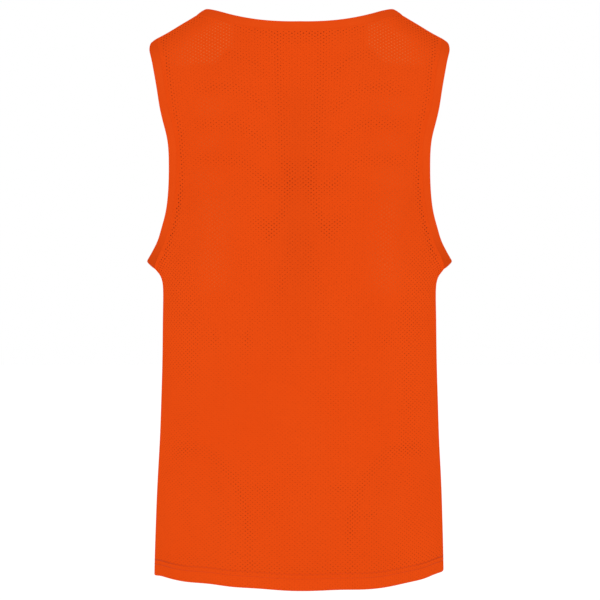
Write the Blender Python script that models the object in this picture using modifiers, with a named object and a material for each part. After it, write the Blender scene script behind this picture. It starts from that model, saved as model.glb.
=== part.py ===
"""Sleeveless mesh training bib, standing in the rounded shape of the torso that wears it.

Metres, +Z up. The back of the bib faces -Y, its front +Y, and the wearer's right side is +X in a view
from behind. The origin lies midway between the two shoulder straps, level with their undersides.
"""

import math

import bmesh
import bpy
import numpy as np

for old in list(bpy.data.objects):
    bpy.data.objects.remove(old, do_unlink=True)

# Cloth
WALL = 0.0012
BAND_WALL = 0.0022
BAND_WIDTH = 0.012
SEAM_GAP = 0.0003
EDGE_GAP = 0.0002
HEM_DEPTH = 0.020
HEM_FOLD = 0.0008
BAND_ROUNDING = 0.0007

# Worn form
SECTION_POWER = 2.2
HEM_POWER = 1.85
HEM_POWER_FROM = -0.38
HEM_POWER_TO = -0.62
ROLL_HEIGHT = 0.120
ROLL_DEPTH = 0.085
SIDE_X = 0.180
RISE_FADE = 0.250
HEM_HEIGHT = -0.6672
HEM_TILT = 0.0030
HEM_DIP = 0.0015
HEM_SHIFT = -0.0008
HEM_LINE_FADE = 0.220
HEM_LINE_FROM = -0.450
FLARE = 0.0170
FLARE_HEIGHT = -0.2840
FLARE_BELOW = 0.0168
FLARE_ABOVE = 0.0450
FLARE_START = 0.68
FLARE_FULL = 0.96
TIP_FROM = 0.1765
TIP_BEND = 147.0

# Half width of the torso at the sides, and how far its back and chest stand from the side line.
TORSO_COLUMNS = ("height", "half_width", "back_depth", "front_depth")
TORSO = np.array(
    [
        (-0.720, 0.1762, 0.1395, 0.1250),
        (-0.667, 0.1757, 0.1385, 0.1250),
        (-0.603, 0.1740, 0.1355, 0.1235),
        (-0.555, 0.1722, 0.1325, 0.1220),
        (-0.506, 0.1696, 0.1310, 0.1205),
        (-0.457, 0.1679, 0.1295, 0.1200),
        (-0.400, 0.1663, 0.1285, 0.1210),
        (-0.350, 0.1657, 0.1280, 0.1230),
        (-0.325, 0.1654, 0.1275, 0.1240),
        (-0.290, 0.1680, 0.1265, 0.1245),
        (-0.240, 0.1762, 0.1240, 0.1230),
        (-0.175, 0.1856, 0.1165, 0.1165),
        (-0.100, 0.1960, 0.1030, 0.1045),
        (-0.030, 0.2035, 0.0900, 0.0940),
        (0.060, 0.2060, 0.0800, 0.0860),
    ]
)

# Height of the shoulder line over each distance from the middle.
SHOULDER_COLUMNS = ("from_middle", "height")
SHOULDER = np.array(
    [
        (0.0000, 0.0484),
        (0.0500, 0.0427),
        (0.0900, 0.0300),
        (0.1130, 0.0190),
        (0.1250, 0.0115),
        (0.1446, -0.0002),
        (0.1641, -0.0117),
        (0.1720, -0.0157),
        (0.1800, -0.0196),
        (0.2000, -0.0305),
    ]
)

# Finished edge of an armhole, from the shoulder line down to under the arm.
ARMHOLE_COLUMNS = ("height", "back_from_middle", "front_from_middle")
ARMHOLE = np.array(
    [
        (-0.0224, 0.1806, 0.1806),
        (-0.0297, 0.1817, 0.1806),
        (-0.0459, 0.1780, 0.1762),
        (-0.0670, 0.1733, 0.1702),
        (-0.0874, 0.1693, 0.1646),
        (-0.1074, 0.1657, 0.1594),
        (-0.1269, 0.1608, 0.1538),
        (-0.1462, 0.1561, 0.1493),
        (-0.1748, 0.1542, 0.1475),
        (-0.2031, 0.1549, 0.1490),
        (-0.2311, 0.1586, 0.1540),
        (-0.2498, 0.1642, 0.1610),
        (-0.2643, 0.1693, 0.1674),
        (-0.2750, 0.1753, 0.1745),
        (-0.2814, 0.1796, 0.1793),
        (-0.2880, 0.1850, 0.1850),
    ]
)

# Finished edge of the neck, from the middle out to the shoulder line.
BACK_NECK_COLUMNS = ("from_middle", "height")
BACK_NECK = np.array(
    [
        (0.0000, -0.0062),
        (0.0468, -0.0034),
        (0.0684, 0.0012),
        (0.0829, 0.0057),
        (0.0976, 0.0115),
        (0.1053, 0.0146),
        (0.1115, 0.0169),
        (0.1155, 0.0176),
    ]
)
FRONT_NECK_COLUMNS = ("from_middle", "height")
FRONT_NECK = np.array(
    [
        (0.0000, -0.1000),
        (0.0300, -0.0945),
        (0.0600, -0.0760),
        (0.0840, -0.0480),
        (0.1010, -0.0160),
        (0.1110, 0.0070),
        (0.1155, 0.0176),
    ]
)

# How far the back's hem hitches up over each distance from the middle.
HEM_LINE_COLUMNS = ("from_middle", "lift")
HEM_LINE = np.array(
    [
        (-0.176, 0.0008),
        (-0.168, 0.0044),
        (-0.158, 0.0053),
        (-0.135, 0.0048),
        (-0.105, 0.0060),
        (-0.080, 0.0044),
        (-0.045, 0.0034),
        (-0.015, 0.0018),
        (0.020, 0.0010),
        (0.050, 0.0006),
        (0.075, -0.0011),
        (0.100, -0.0013),
        (0.130, 0.0000),
        (0.150, 0.0009),
        (0.163, 0.0026),
        (0.176, 0.0016),
    ]
)

# Grid of each panel: rows up the side seam, gathered towards the armpit, and up the armhole, then columns
# along half the neck and a shoulder.
SIDE_ROWS = 12
SIDE_GATHER = 1.4
ARMHOLE_ROWS = 22
BACK_NECK_COLUMNS_HALF = 11
FRONT_NECK_COLUMNS_HALF = 14
SHOULDER_STEPS = 3
EVENING_PASSES = 12
DENSE = 400

BACK = -1
FRONT = 1
ORANGE = (0.78, 0.07, 0.008, 1.0)


def spline(knots, values, at):
    """Natural cubic spline through the knots."""
    step = np.diff(knots)
    count = len(knots)
    matrix = np.eye(count)
    right = np.zeros(count)
    for i in range(1, count - 1):
        matrix[i, i - 1 : i + 2] = step[i - 1], 2 * (step[i - 1] + step[i]), step[i]
        right[i] = 6 * (values[i + 1] - values[i]) / step[i] - 6 * (values[i] - values[i - 1]) / step[i - 1]
    bend = np.linalg.solve(matrix, right)
    k = np.clip(np.searchsorted(knots, at) - 1, 0, count - 2)
    h = step[k]
    low = (knots[k + 1] - at) / h
    high = (at - knots[k]) / h
    straight = low * values[k] + high * values[k + 1]
    return straight + ((low**3 - low) * bend[k] + (high**3 - high) * bend[k + 1]) * h * h / 6


def even_spline(knots, values, at):
    """Spline through the knots and their mirror images about zero."""
    both = np.concatenate((-knots[:0:-1], knots))
    return spline(both, np.concatenate((values[:0:-1], values)), at)


def torso(height, column):
    """A column of the torso table at any height."""
    values = TORSO[:, TORSO_COLUMNS.index(column)]
    return spline(TORSO[:, 0], values, np.clip(height, TORSO[0, 0], TORSO[-1, 0]))


def shoulder_height(x):
    """Height of the shoulder line over x."""
    return even_spline(SHOULDER[:, 0], SHOULDER[:, 1], x)


def tip_height(x):
    """Height of the shoulder line over x with its tip bent down: less the square of x past its start."""
    return shoulder_height(x) - TIP_BEND * np.maximum(x - TIP_FROM, 0) ** 2


def arc_table(power, width, depth):
    """Superellipse quarter by its own length: shares of the length, of the width and of the depth."""
    angle = np.linspace(0, math.pi / 2, 4001)
    out = np.sin(angle) ** (2 / power)
    deep = np.cos(angle) ** (2 / power)
    step = np.hypot(np.diff(out) * width, np.diff(deep) * depth)
    length = np.concatenate(([0], np.cumsum(step)))
    return length, out, deep


SECTION_LENGTH, SECTION_OUT, SECTION_DEEP = arc_table(SECTION_POWER, 0.180, 0.125)
SECTION_SHARE = SECTION_LENGTH / SECTION_LENGTH[-1]
HEM_LENGTH, HEM_OUT, HEM_DEEP = arc_table(HEM_POWER, 0.180, 0.125)
HEM_SHARE = HEM_LENGTH / HEM_LENGTH[-1]
ROLL_LENGTH, ROLL_RISE, ROLL_REACH = arc_table(2, ROLL_HEIGHT, ROLL_DEPTH)
RIDGE = ROLL_LENGTH[-1]
SIDE_RIDGE = float(shoulder_height(np.array(SIDE_X)))
HEM_UP = HEM_HEIGHT - SIDE_RIDGE + ROLL_HEIGHT


def ease(value):
    """Smooth step from 0 to 1."""
    share = np.clip(value, 0, 1)
    return share * share * (3 - 2 * share)


def side_height(up):
    """Height at the side line for a distance up the cloth, 0 where the shoulder begins to roll over."""
    rise = np.interp(up, ROLL_LENGTH, ROLL_RISE)
    return SIDE_RIDGE - ROLL_HEIGHT + np.where(up < 0, up, ROLL_HEIGHT * rise)


def section(across, height):
    """Shares of the half width and of the depth, the body's section easing into the hem's flatter one."""
    share = np.abs(across)
    flat = ease((HEM_POWER_FROM - height) / (HEM_POWER_FROM - HEM_POWER_TO))
    out = (1 - flat) * np.interp(share, SECTION_SHARE, SECTION_OUT) + flat * np.interp(share, HEM_SHARE, HEM_OUT)
    deep = (1 - flat) * np.interp(share, SECTION_SHARE, SECTION_DEEP) + flat * np.interp(share, HEM_SHARE, HEM_DEEP)
    return out, deep


def width_at(across, up):
    """Distance from the middle: the section's half width, flared a little round the armpit."""
    height = side_height(up)
    reach = np.where(height < FLARE_HEIGHT, FLARE_BELOW, FLARE_ABOVE)
    flare = FLARE * np.exp(-(((height - FLARE_HEIGHT) / reach) ** 2))
    near_side = ease((np.abs(across) - FLARE_START) / (FLARE_FULL - FLARE_START))
    out = torso(height, "half_width") * section(across, height)[0]
    return np.sign(across) * (out + flare * near_side)


def height_at(x, up):
    """Height over x: level rings round the body, rising to follow the shoulder line further up."""
    ridge = shoulder_height(x)
    below = SIDE_RIDGE - ROLL_HEIGHT + up + (ridge - SIDE_RIDGE) * ease(1 + up / RISE_FADE)
    above = tip_height(np.abs(x)) - ROLL_HEIGHT * (1 - np.interp(up, ROLL_LENGTH, ROLL_RISE))
    return np.where(up < 0, below, above)


def form(across, up, side):
    """Point of the worn form, with x = half width by the section's share, z from the rings' height,
    y = depth by the section's share, closing over the shoulder as a quarter ellipse."""
    across, up = np.broadcast_arrays(np.asarray(across, float), np.asarray(up, float))
    x = width_at(across, up)
    z = height_at(x, up)
    depth = torso(z, "back_depth" if side == BACK else "front_depth")
    depth = depth * section(across, side_height(up))[1]
    reach = np.where(up < 0, 1, np.interp(up, ROLL_LENGTH, ROLL_REACH))
    return np.stack((x, side * depth * reach, z), axis=-1)


def slopes(across, up, side):
    """Derivatives of the form across and up, each over the smallest safe step inside its range."""
    step = 1e-4
    low = np.clip(across - step, -1, 1)
    high = np.clip(across + step, -1, 1)
    over = (form(high, up, side) - form(low, up, side)) / (high - low)[..., None]
    down = np.minimum(up + step, RIDGE) - 2 * step
    along = (form(across, down + 2 * step, side) - form(across, down, side)) / (2 * step)
    return over, along


def locate(x, z, side):
    """Where on the form a point seen at x and z lies: its share across and its distance up."""
    rows = np.linspace(HEM_UP - 0.02, 0, 3000)
    found = []
    for px, pz in zip(x, z):
        top = float(tip_height(np.array(px)))
        if pz > top - ROLL_HEIGHT:
            rise = np.clip(1 - (top - pz) / ROLL_HEIGHT, 0, 1)
            up = float(np.interp(rise, ROLL_RISE, ROLL_LENGTH))
        else:
            up = float(np.interp(pz, height_at(np.full(len(rows), px), rows), rows))
        widths = width_at(SECTION_SHARE[::4], np.full(len(SECTION_SHARE[::4]), up))
        found.append((float(np.interp(px, widths, SECTION_SHARE[::4])), up))
    return np.array(found)


def lengths(points):
    """Running length along a line of points."""
    step = np.linalg.norm(np.diff(points, axis=0), axis=1)
    return np.concatenate(([0], np.cumsum(step)))


def edge_line(places, ghosts, side):
    """Dense smooth line on the form through the places, crossing the lines that the ghosts mirror it in."""
    first, last = ghosts
    knots = np.vstack((first, places, last))
    run = lengths(knots * np.array((0.24, 1.0)))
    inner = np.linspace(run[1], run[-2], DENSE)
    line = np.stack([spline(run, knots[:, k], inner) for k in (0, 1)], axis=-1)
    line[0] = places[0]
    line[-1] = places[-1]
    line[:, 0] = np.clip(line[:, 0], 0, 1)
    line[:, 1] = np.minimum(line[:, 1], RIDGE)
    return line


def moved_in(line, side, distance, inward, square_ends):
    """The line moved over the form by a distance, square to itself, towards the side that inward names."""
    start = form(line[:, 0], line[:, 1], side)
    tangent = np.gradient(start, axis=0)
    for end in square_ends:
        tangent[end] = np.array((0.0, 1.0, 0.0)) * np.sign(tangent[end, 1])
    tangent /= np.linalg.norm(tangent, axis=1)[:, None]
    over, along = slopes(line[:, 0], line[:, 1], side)
    normal = np.cross(over, along)
    normal /= np.linalg.norm(normal, axis=1)[:, None]
    square = np.cross(normal, tangent)
    middle = len(line) // 2
    if np.dot(square[middle], np.array(inward)) < 0:
        square = -square
    reach = np.full((len(line), 1), distance)
    place = line.copy()
    for _ in range(8):
        over, along = slopes(place[:, 0], place[:, 1], side)
        here = form(place[:, 0], place[:, 1], side)
        miss = start + square * reach - here
        for i in range(len(place)):
            change = np.linalg.lstsq(np.stack((over[i], along[i]), axis=1), miss[i], rcond=None)[0]
            place[i] += change
        place[:, 0] = np.clip(place[:, 0], 0, 1)
        place[:, 1] = np.minimum(place[:, 1], RIDGE)
        now = np.linalg.norm(form(place[:, 0], place[:, 1], side) - start, axis=1)
        reach *= np.clip(distance / now, 0.8, 1.25)[:, None]
    return place


def sampled(line, side, steps):
    """Indices that share a dense line out in even steps of its length."""
    run = lengths(form(line[:, 0], line[:, 1], side))
    return np.interp(np.linspace(0, run[-1], steps + 1), run, np.arange(len(line)))


def picked(line, index):
    """Places of a dense line at fractional indices."""
    whole = np.arange(len(line))
    return np.stack([np.interp(index, whole, line[:, k]) for k in (0, 1)], axis=-1)


def armhole_lines(side):
    """Finished edge of the armhole and its seam, from under the arm up to the shoulder line."""
    column = ARMHOLE_COLUMNS.index("back_from_middle" if side == BACK else "front_from_middle")
    places = locate(ARMHOLE[::-1, column], ARMHOLE[::-1, 0], side)
    places[0, 0] = 1.0
    places[-1, 1] = RIDGE
    ghosts = ((2 - places[1, 0], places[1, 1]), (places[-2, 0], 2 * RIDGE - places[-2, 1]))
    edge = edge_line(places, ghosts, side)
    seam = moved_in(edge, side, BAND_WIDTH, (-1, 0, 0), (0, -1))
    seam[0, 0] = 1.0
    seam[-1, 1] = RIDGE
    return edge, seam


def neck_lines(side):
    """Finished edge of the neck and its seam, from the middle out to the shoulder line."""
    table = BACK_NECK if side == BACK else FRONT_NECK
    places = locate(table[:, 0], table[:, 1], side)
    places[0, 0] = 0.0
    places[-1, 1] = RIDGE
    ghosts = ((-places[1, 0], places[1, 1]), (places[-2, 0], 2 * RIDGE - places[-2, 1]))
    edge = edge_line(places, ghosts, side)
    seam = moved_in(edge, side, BAND_WIDTH, (0.5, 0, -1), (-1,))
    seam[0, 0] = 0.0
    seam[-1, 1] = RIDGE
    return edge, seam


def half_grid(side, armhole_seam, neck_seam, neck_steps):
    """Places of half a panel, rows from hem to top and columns from the middle to the side."""
    arm = picked(armhole_seam, sampled(armhole_seam, side, ARMHOLE_ROWS))
    neck = picked(neck_seam, sampled(neck_seam, side, neck_steps))
    rise = 1 - (1 - np.linspace(0, 1, SIDE_ROWS + 1)) ** SIDE_GATHER
    seam_top = HEM_UP + (arm[0, 1] - HEM_UP) * rise
    side_line = np.vstack((np.stack((np.ones(SIDE_ROWS), seam_top[:-1]), axis=-1), arm))
    shoulder = np.linspace(neck[-1], arm[-1], SHOULDER_STEPS + 1)
    top = np.vstack((neck, shoulder[1:]))
    rows = len(side_line)
    columns = len(top)
    u = np.linspace(0, 1, columns)
    armpit_row = arm[0, 1] - 0.040
    middle_up = np.concatenate(
        (
            (HEM_UP + (armpit_row - HEM_UP) * rise)[:-1],
            np.linspace(armpit_row, top[0, 1], ARMHOLE_ROWS + 1),
        )
    )
    middle = np.stack((np.zeros(rows), middle_up), axis=-1)
    bottom = np.stack((u, np.full(columns, HEM_UP)), axis=-1)
    out = np.stack((u, u**2), axis=-1)[None]
    v = (np.linspace(0, 1, rows) ** 2)[:, None, None]
    sides = (1 - out) * middle[:, None] + out * side_line[:, None]
    ends = (1 - v) * bottom[None] + v * top[None]
    corners = (1 - v) * ((1 - out) * bottom[0] + out * bottom[-1])
    corners = corners + v * ((1 - out) * top[0] + out * top[-1])
    grid = sides + ends - corners
    for _ in range(EVENING_PASSES):
        whole = np.concatenate((grid[:, 1:2] * np.array((-1, 1)), grid), axis=1)
        level = (whole[1:-1, 2:] + whole[1:-1, :-2] + whole[2:, 1:-1] + whole[:-2, 1:-1]) / 4
        grid[1:-1, :-1] = level
        grid[:, 0, 0] = 0
    return grid


def settled(points, side):
    """The form's points with the hem's own tilt, dip, shift and hitches added, fading out up the body."""
    points = points.copy()
    x, z = points[..., 0], points[..., 2]
    fade = ease((HEM_LINE_FROM - z) / HEM_LINE_FADE)
    share = np.clip(x / HEM_LINE[-1, 0], -1, 1)
    if side == BACK:
        lift = spline(HEM_LINE[:, 0], HEM_LINE[:, 1], share * HEM_LINE[-1, 0])
    else:
        lift = (1 - share) / 2 * HEM_LINE[0, 1] + (1 + share) / 2 * HEM_LINE[-1, 1]
    points[..., 2] = z + fade * (HEM_TILT * share + lift - HEM_DIP * (1 - share**2))
    points[..., 0] = x + fade * HEM_SHIFT
    return points


def panel_points(side, grid):
    """Points of a whole panel with its hem turned up inside, and gaps left at its side and shoulder seams."""
    full = np.concatenate((grid[:, :0:-1] * np.array((-1, 1)), grid), axis=1)
    points = settled(form(full[..., 0], full[..., 1], side), side)
    over, along = np.gradient(points, axis=1), np.gradient(points, axis=0)
    normal = np.cross(over, along)
    normal /= np.linalg.norm(normal, axis=-1)[..., None]
    normal *= np.sign(normal[3, len(full[0]) // 2, 1] * side)
    rows = slice(0, SIDE_ROWS + 1)
    for column, near in ((0, 1), (-1, -2)):
        points[rows, column, 1] = side * mitred(points[rows, near] - points[rows, column], 0)
        normal[rows, column, 1] = 0
    for columns in (slice(0, SHOULDER_STEPS + 1), slice(-SHOULDER_STEPS - 1, None)):
        points[-1, columns, 1] = side * mitred(points[-2, columns] - points[-1, columns], 2)
    return points, normal


def mitred(reach, axis):
    """How far a panel's edge stays off the plane y = 0 for its inner face to keep half the seam's gap,
    where the panel leaves that plane along reach."""
    tilt = np.abs(reach[..., axis]) / np.hypot(reach[..., axis], reach[..., 1])
    return SEAM_GAP / 2 + WALL / 2 * tilt


def in_from_edge(points, near, distance):
    """Edge points moved towards their neighbours further in."""
    way = near - points
    return points + way / np.linalg.norm(way, axis=-1)[..., None] * distance


def with_hem(points, normal):
    """Rows of the hem's fold and of the cloth turned up inside it, put before the panel's own rows."""
    edge, out = points[0], normal[0]
    rise = points[1] - points[0]
    rise /= np.linalg.norm(rise, axis=-1)[:, None]
    rows = []
    for share in (1.0, 0.5, 0.12):
        rows.append(edge - out * 2 * HEM_FOLD + rise * (HEM_FOLD + (HEM_DEPTH - HEM_FOLD) * share))
    for turn in (180, 135, 90, 45, 0):
        angle = math.radians(turn)
        rows.append(edge - out * HEM_FOLD * (1 - math.cos(angle)) + rise * HEM_FOLD * (1 - math.sin(angle)))
    return np.concatenate((np.array(rows), points[1:]), axis=0)


def material(name):
    """Plain orange knit."""
    made = bpy.data.materials.new(name)
    made.use_nodes = True
    shader = made.node_tree.nodes["Principled BSDF"]
    shader.inputs["Base Color"].default_value = ORANGE
    shader.inputs["Roughness"].default_value = 0.85
    made.diffuse_color = ORANGE
    return made


def cloth(name, points, wall, rounding=0.0, closed=False):
    """A wall of cloth about a grid of points; a closed grid's last column is its first."""
    rows, columns = points.shape[:2]
    mesh = bpy.data.meshes.new(name)
    work = bmesh.new()
    bmesh.ops.create_grid(work, x_segments=columns - 1, y_segments=rows - 1, size=1.0)
    work.verts.ensure_lookup_table()
    order = sorted(work.verts, key=lambda v: (round(v.co.y * 1000), round(v.co.x * 1000)))
    for vert, place in zip(order, points.reshape(-1, 3)):
        vert.co = place
    if closed:
        bmesh.ops.remove_doubles(work, verts=work.verts, dist=1e-6)
    for face in work.faces:
        face.smooth = True
    work.to_mesh(mesh)
    work.free()
    made = bpy.data.objects.new(name, mesh)
    mesh.materials.append(material(name))
    box = bpy.data.collections.new(name)
    bpy.context.scene.collection.children.link(box)
    box.objects.link(made)
    solid = made.modifiers.new("wall", "SOLIDIFY")
    solid.thickness = wall
    solid.offset = 0.0
    solid.use_even_offset = True
    if rounding:
        bevel = made.modifiers.new("rounding", "BEVEL")
        bevel.width = rounding
        bevel.segments = 1
        bevel.limit_method = "ANGLE"
        bevel.angle_limit = math.radians(60)
    return made


def band(name, edge, seam):
    """A folded strip of cloth round an opening, between its finished edge and its seam."""
    outer = in_from_edge(edge, seam, BAND_WALL / 4)
    inner = in_from_edge(seam, edge, EDGE_GAP)
    across = np.linspace(0, 1, 3)[:, None, None]
    return cloth(name, outer[None] * (1 - across) + inner[None] * across, BAND_WALL, BAND_ROUNDING, True)


def mirrored(points):
    """Points mirrored to the other half of the bib."""
    return points * np.array((-1.0, 1.0, 1.0))


def seam_gaps(points):
    """A panel's points with half a seam's gap left along its armholes and neck."""
    moved = points.copy()
    beside = slice(SIDE_ROWS, None)
    neck = slice(SHOULDER_STEPS, -SHOULDER_STEPS)
    moved[beside, 0] = in_from_edge(points[beside, 0], points[beside, 1], EDGE_GAP)
    moved[beside, -1] = in_from_edge(points[beside, -1], points[beside, -2], EDGE_GAP)
    moved[-1, neck] = in_from_edge(moved[-1, neck], points[-2, neck], EDGE_GAP)
    return moved


lines = {}
for side, name, neck_steps in (
    (BACK, "back_panel", BACK_NECK_COLUMNS_HALF),
    (FRONT, "front_panel", FRONT_NECK_COLUMNS_HALF),
):
    arm_edge, arm_seam = armhole_lines(side)
    neck_edge, neck_seam = neck_lines(side)
    arm_index = sampled(arm_seam, side, ARMHOLE_ROWS)
    neck_index = sampled(neck_seam, side, neck_steps)
    for key, line, index in (
        ("arm_edge", arm_edge, arm_index),
        ("arm_seam", arm_seam, arm_index),
        ("neck_edge", neck_edge, neck_index),
        ("neck_seam", neck_seam, neck_index),
    ):
        place = picked(line, index)
        lines[key, side] = form(place[:, 0], place[:, 1], side)
    points, normal = panel_points(side, half_grid(side, arm_seam, neck_seam, neck_steps))
    cloth(name, with_hem(seam_gaps(points), normal), WALL)

arm_loops = [
    np.concatenate((lines[key, BACK][::-1], lines[key, FRONT][1:])) for key in ("arm_edge", "arm_seam")
]
band("armhole_binding_right", *arm_loops)
band("armhole_binding_left", *[mirrored(loop) for loop in arm_loops])

neck_loops = []
for key in ("neck_edge", "neck_seam"):
    back, front = lines[key, BACK], lines[key, FRONT]
    neck_loops.append(
        np.concatenate((back, front[-2::-1], mirrored(front)[1:], mirrored(back)[-2::-1]))
    )
band("neck_binding", *neck_loops)
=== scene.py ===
"""Looks of the orange mesh training bib: two mesh panels, three folded bindings and their sewing.

The panels follow the same worn form as the part. Each shape is a function of two parameters that gives
a grid of points, and each pattern reads the cloth's own lengths, kept in metres in its UV map.
"""

import math

import bpy
import numpy as np
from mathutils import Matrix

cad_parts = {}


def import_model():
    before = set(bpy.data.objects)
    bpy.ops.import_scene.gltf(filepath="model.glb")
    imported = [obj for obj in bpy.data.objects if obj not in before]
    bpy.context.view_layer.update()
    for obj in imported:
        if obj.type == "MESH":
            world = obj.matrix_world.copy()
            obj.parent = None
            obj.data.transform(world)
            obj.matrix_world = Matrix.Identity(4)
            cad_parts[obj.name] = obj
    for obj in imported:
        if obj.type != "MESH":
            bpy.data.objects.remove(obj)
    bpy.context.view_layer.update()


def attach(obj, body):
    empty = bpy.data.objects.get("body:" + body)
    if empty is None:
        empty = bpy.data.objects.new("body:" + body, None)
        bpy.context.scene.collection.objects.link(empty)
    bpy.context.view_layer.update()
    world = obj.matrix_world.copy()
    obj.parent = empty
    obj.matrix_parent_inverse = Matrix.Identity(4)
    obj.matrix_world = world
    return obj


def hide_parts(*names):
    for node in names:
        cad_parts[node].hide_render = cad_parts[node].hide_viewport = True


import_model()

# Walls of a panel and of a binding's leaf, a binding's width and half its thickness, and the puckers along
# its seam
PANEL_WALL = 0.0009
LEAF_WALL = 0.0006
BAND_WIDTH = 0.012
BAND_HALF = 0.00082
PUCKER = 0.00010
PUCKER_PITCH = 0.0075
# Hem: depth, radius of its fold, cloth let in for the turn, and the rows that the strip and the fold have
HEM_DEPTH = 0.020
HEM_FOLD = 0.0007
HEM_TURN = 0.001
HEM_STRIP_SHARES = (1.0, 0.8, 0.6, 0.4, 0.2, 0.05)
HEM_FOLD_ANGLES = (180, 150, 120, 90, 60, 30)
# Stitches: heights of their two rows above the fold, their step and length, and their thread
STITCH_ROWS = (0.0132, 0.0184)
STITCH_PITCH = 0.0034
STITCH_LENGTH = 0.0029
THREAD_WIDTH = 0.00042
THREAD_HEIGHT = 0.00036
THREAD_CLEARANCE = 0.00002
# Seam allowances: distances from the seam, wall, scallops of the thread loops, how far they stay off the
# panel round an opening and along a straight seam, and how much short a shoulder's ends
ALLOWANCE_STEPS = np.array((0.0002, 0.0018, 0.0034, 0.0050))
ALLOWANCE_WALL = 0.0009
SCALLOP = 0.00022
SCALLOP_PITCH = 0.0048
LOOP_CLEARANCE = 0.00045
STRAIGHT_CLEARANCE = 0.0003
SHOULDER_SHORT = 0.015
# Gap between the panels at a seam, the strip over which the drape grows, and how far a seam draws in
SEAM_CLOSE = 0.00003
DRAPE_FADE = 0.030
DRAWN_IN = 0.00012
DRAWN_IN_REACH = 0.0028

# Eyelets: steps along a row, height of a pair of rows, radius and soft rim
EYELET_ACROSS = 0.0063
EYELET_UP = 0.0045
EYELET_RADIUS = 0.00060
EYELET_RIM = 0.00022
# How much of a step towards the front the knit counts, being pulled open where it turns away.
TURN_STRETCH = 0.62
# How much closer the holes come to the neck binding than to an armhole's.
NECK_NEARER = 0.0040
# Ribs of plainer eyelets: height of one of them, steps down the back, and sweep down at the spine.
RIB_HEIGHT = -0.0870
RIB_PITCH = 0.0425
RIB_SWEEP = 0.032
# How plainly the front's eyelets show their painted shade, and shine with painted light, beside the back's.
FRONT_SHOWING = 0.55
FRONT_SHINING = 0.5

# Worn form: the size that a section's shares are measured on, its superellipse's power round the body and
# at the hem, and the heights between which one eases into the other
SECTION_WIDTH = 0.180
SECTION_DEPTH = 0.125
SECTION_POWER = 2.2
HEM_POWER = 1.85
HEM_POWER_FROM = -0.38
HEM_POWER_TO = -0.62
# Quarter ellipse that rolls the cloth over the shoulders, the x at which the sides meet it, and the length
# over which level rings bend up to the shoulder line
ROLL_HEIGHT = 0.120
ROLL_DEPTH = 0.085
SIDE_X = 0.180
RISE_FADE = 0.250
# Hem line: height, tilt, dip in the middle, shift sideways, and where all of these fade out
HEM_HEIGHT = -0.6672
HEM_TILT = 0.0030
HEM_DIP = 0.0015
HEM_SHIFT = -0.0008
HEM_LINE_FADE = 0.220
HEM_LINE_FROM = -0.450
# Flare round the armpit: reach, height, fades below and above, and the shares across where it starts and
# is full
FLARE = 0.0170
FLARE_HEIGHT = -0.2840
FLARE_BELOW = 0.0168
FLARE_ABOVE = 0.0450
FLARE_START = 0.68
FLARE_FULL = 0.96
# Bent tips of the shoulder line, and the length that a whole share across counts in a line's length
TIP_FROM = 0.1765
TIP_BEND = 147.0
HALF_GIRTH = 0.24

# Half width of the torso at the sides, and how far its back and chest stand from the side line.
TORSO_HEADINGS = ("height", "half_width", "back_depth", "front_depth")
TORSO = np.array(
    [
        (-0.720, 0.1762, 0.1395, 0.1250),
        (-0.667, 0.1757, 0.1385, 0.1250),
        (-0.603, 0.1740, 0.1355, 0.1235),
        (-0.555, 0.1722, 0.1325, 0.1220),
        (-0.506, 0.1696, 0.1310, 0.1205),
        (-0.457, 0.1679, 0.1295, 0.1200),
        (-0.400, 0.1663, 0.1285, 0.1210),
        (-0.350, 0.1657, 0.1280, 0.1230),
        (-0.325, 0.1654, 0.1275, 0.1240),
        (-0.290, 0.1680, 0.1265, 0.1245),
        (-0.240, 0.1762, 0.1240, 0.1230),
        (-0.175, 0.1856, 0.1165, 0.1165),
        (-0.100, 0.1960, 0.1030, 0.1045),
        (-0.030, 0.2035, 0.0900, 0.0940),
        (0.060, 0.2060, 0.0800, 0.0860),
    ]
)

# Height of the shoulder line over each distance from the middle.
SHOULDER_HEADINGS = ("from_middle", "height")
SHOULDER = np.array(
    [
        (0.0000, 0.0484),
        (0.0500, 0.0427),
        (0.0900, 0.0300),
        (0.1130, 0.0190),
        (0.1250, 0.0115),
        (0.1446, -0.0002),
        (0.1641, -0.0117),
        (0.1720, -0.0157),
        (0.1800, -0.0196),
        (0.2000, -0.0305),
    ]
)

# Finished edge of an armhole, from the shoulder line down to under the arm.
ARMHOLE_HEADINGS = ("height", "back_from_middle", "front_from_middle")
ARMHOLE = np.array(
    [
        (-0.0224, 0.1806, 0.1806),
        (-0.0297, 0.1817, 0.1806),
        (-0.0459, 0.1780, 0.1762),
        (-0.0670, 0.1733, 0.1702),
        (-0.0874, 0.1693, 0.1646),
        (-0.1074, 0.1657, 0.1594),
        (-0.1269, 0.1608, 0.1538),
        (-0.1462, 0.1561, 0.1493),
        (-0.1748, 0.1542, 0.1475),
        (-0.2031, 0.1549, 0.1490),
        (-0.2311, 0.1586, 0.1540),
        (-0.2498, 0.1642, 0.1610),
        (-0.2643, 0.1693, 0.1674),
        (-0.2750, 0.1753, 0.1745),
        (-0.2814, 0.1796, 0.1793),
        (-0.2880, 0.1850, 0.1850),
    ]
)

# Finished edge of the neck, from the middle out to the shoulder line.
NECK_HEADINGS = ("from_middle", "height")
BACK_NECK = np.array(
    [
        (0.0000, -0.0062),
        (0.0468, -0.0034),
        (0.0684, 0.0012),
        (0.0829, 0.0057),
        (0.0976, 0.0115),
        (0.1053, 0.0146),
        (0.1115, 0.0169),
        (0.1155, 0.0176),
    ]
)
FRONT_NECK = np.array(
    [
        (0.0000, -0.1000),
        (0.0300, -0.0945),
        (0.0600, -0.0760),
        (0.0840, -0.0480),
        (0.1010, -0.0160),
        (0.1110, 0.0070),
        (0.1155, 0.0176),
    ]
)

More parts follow.
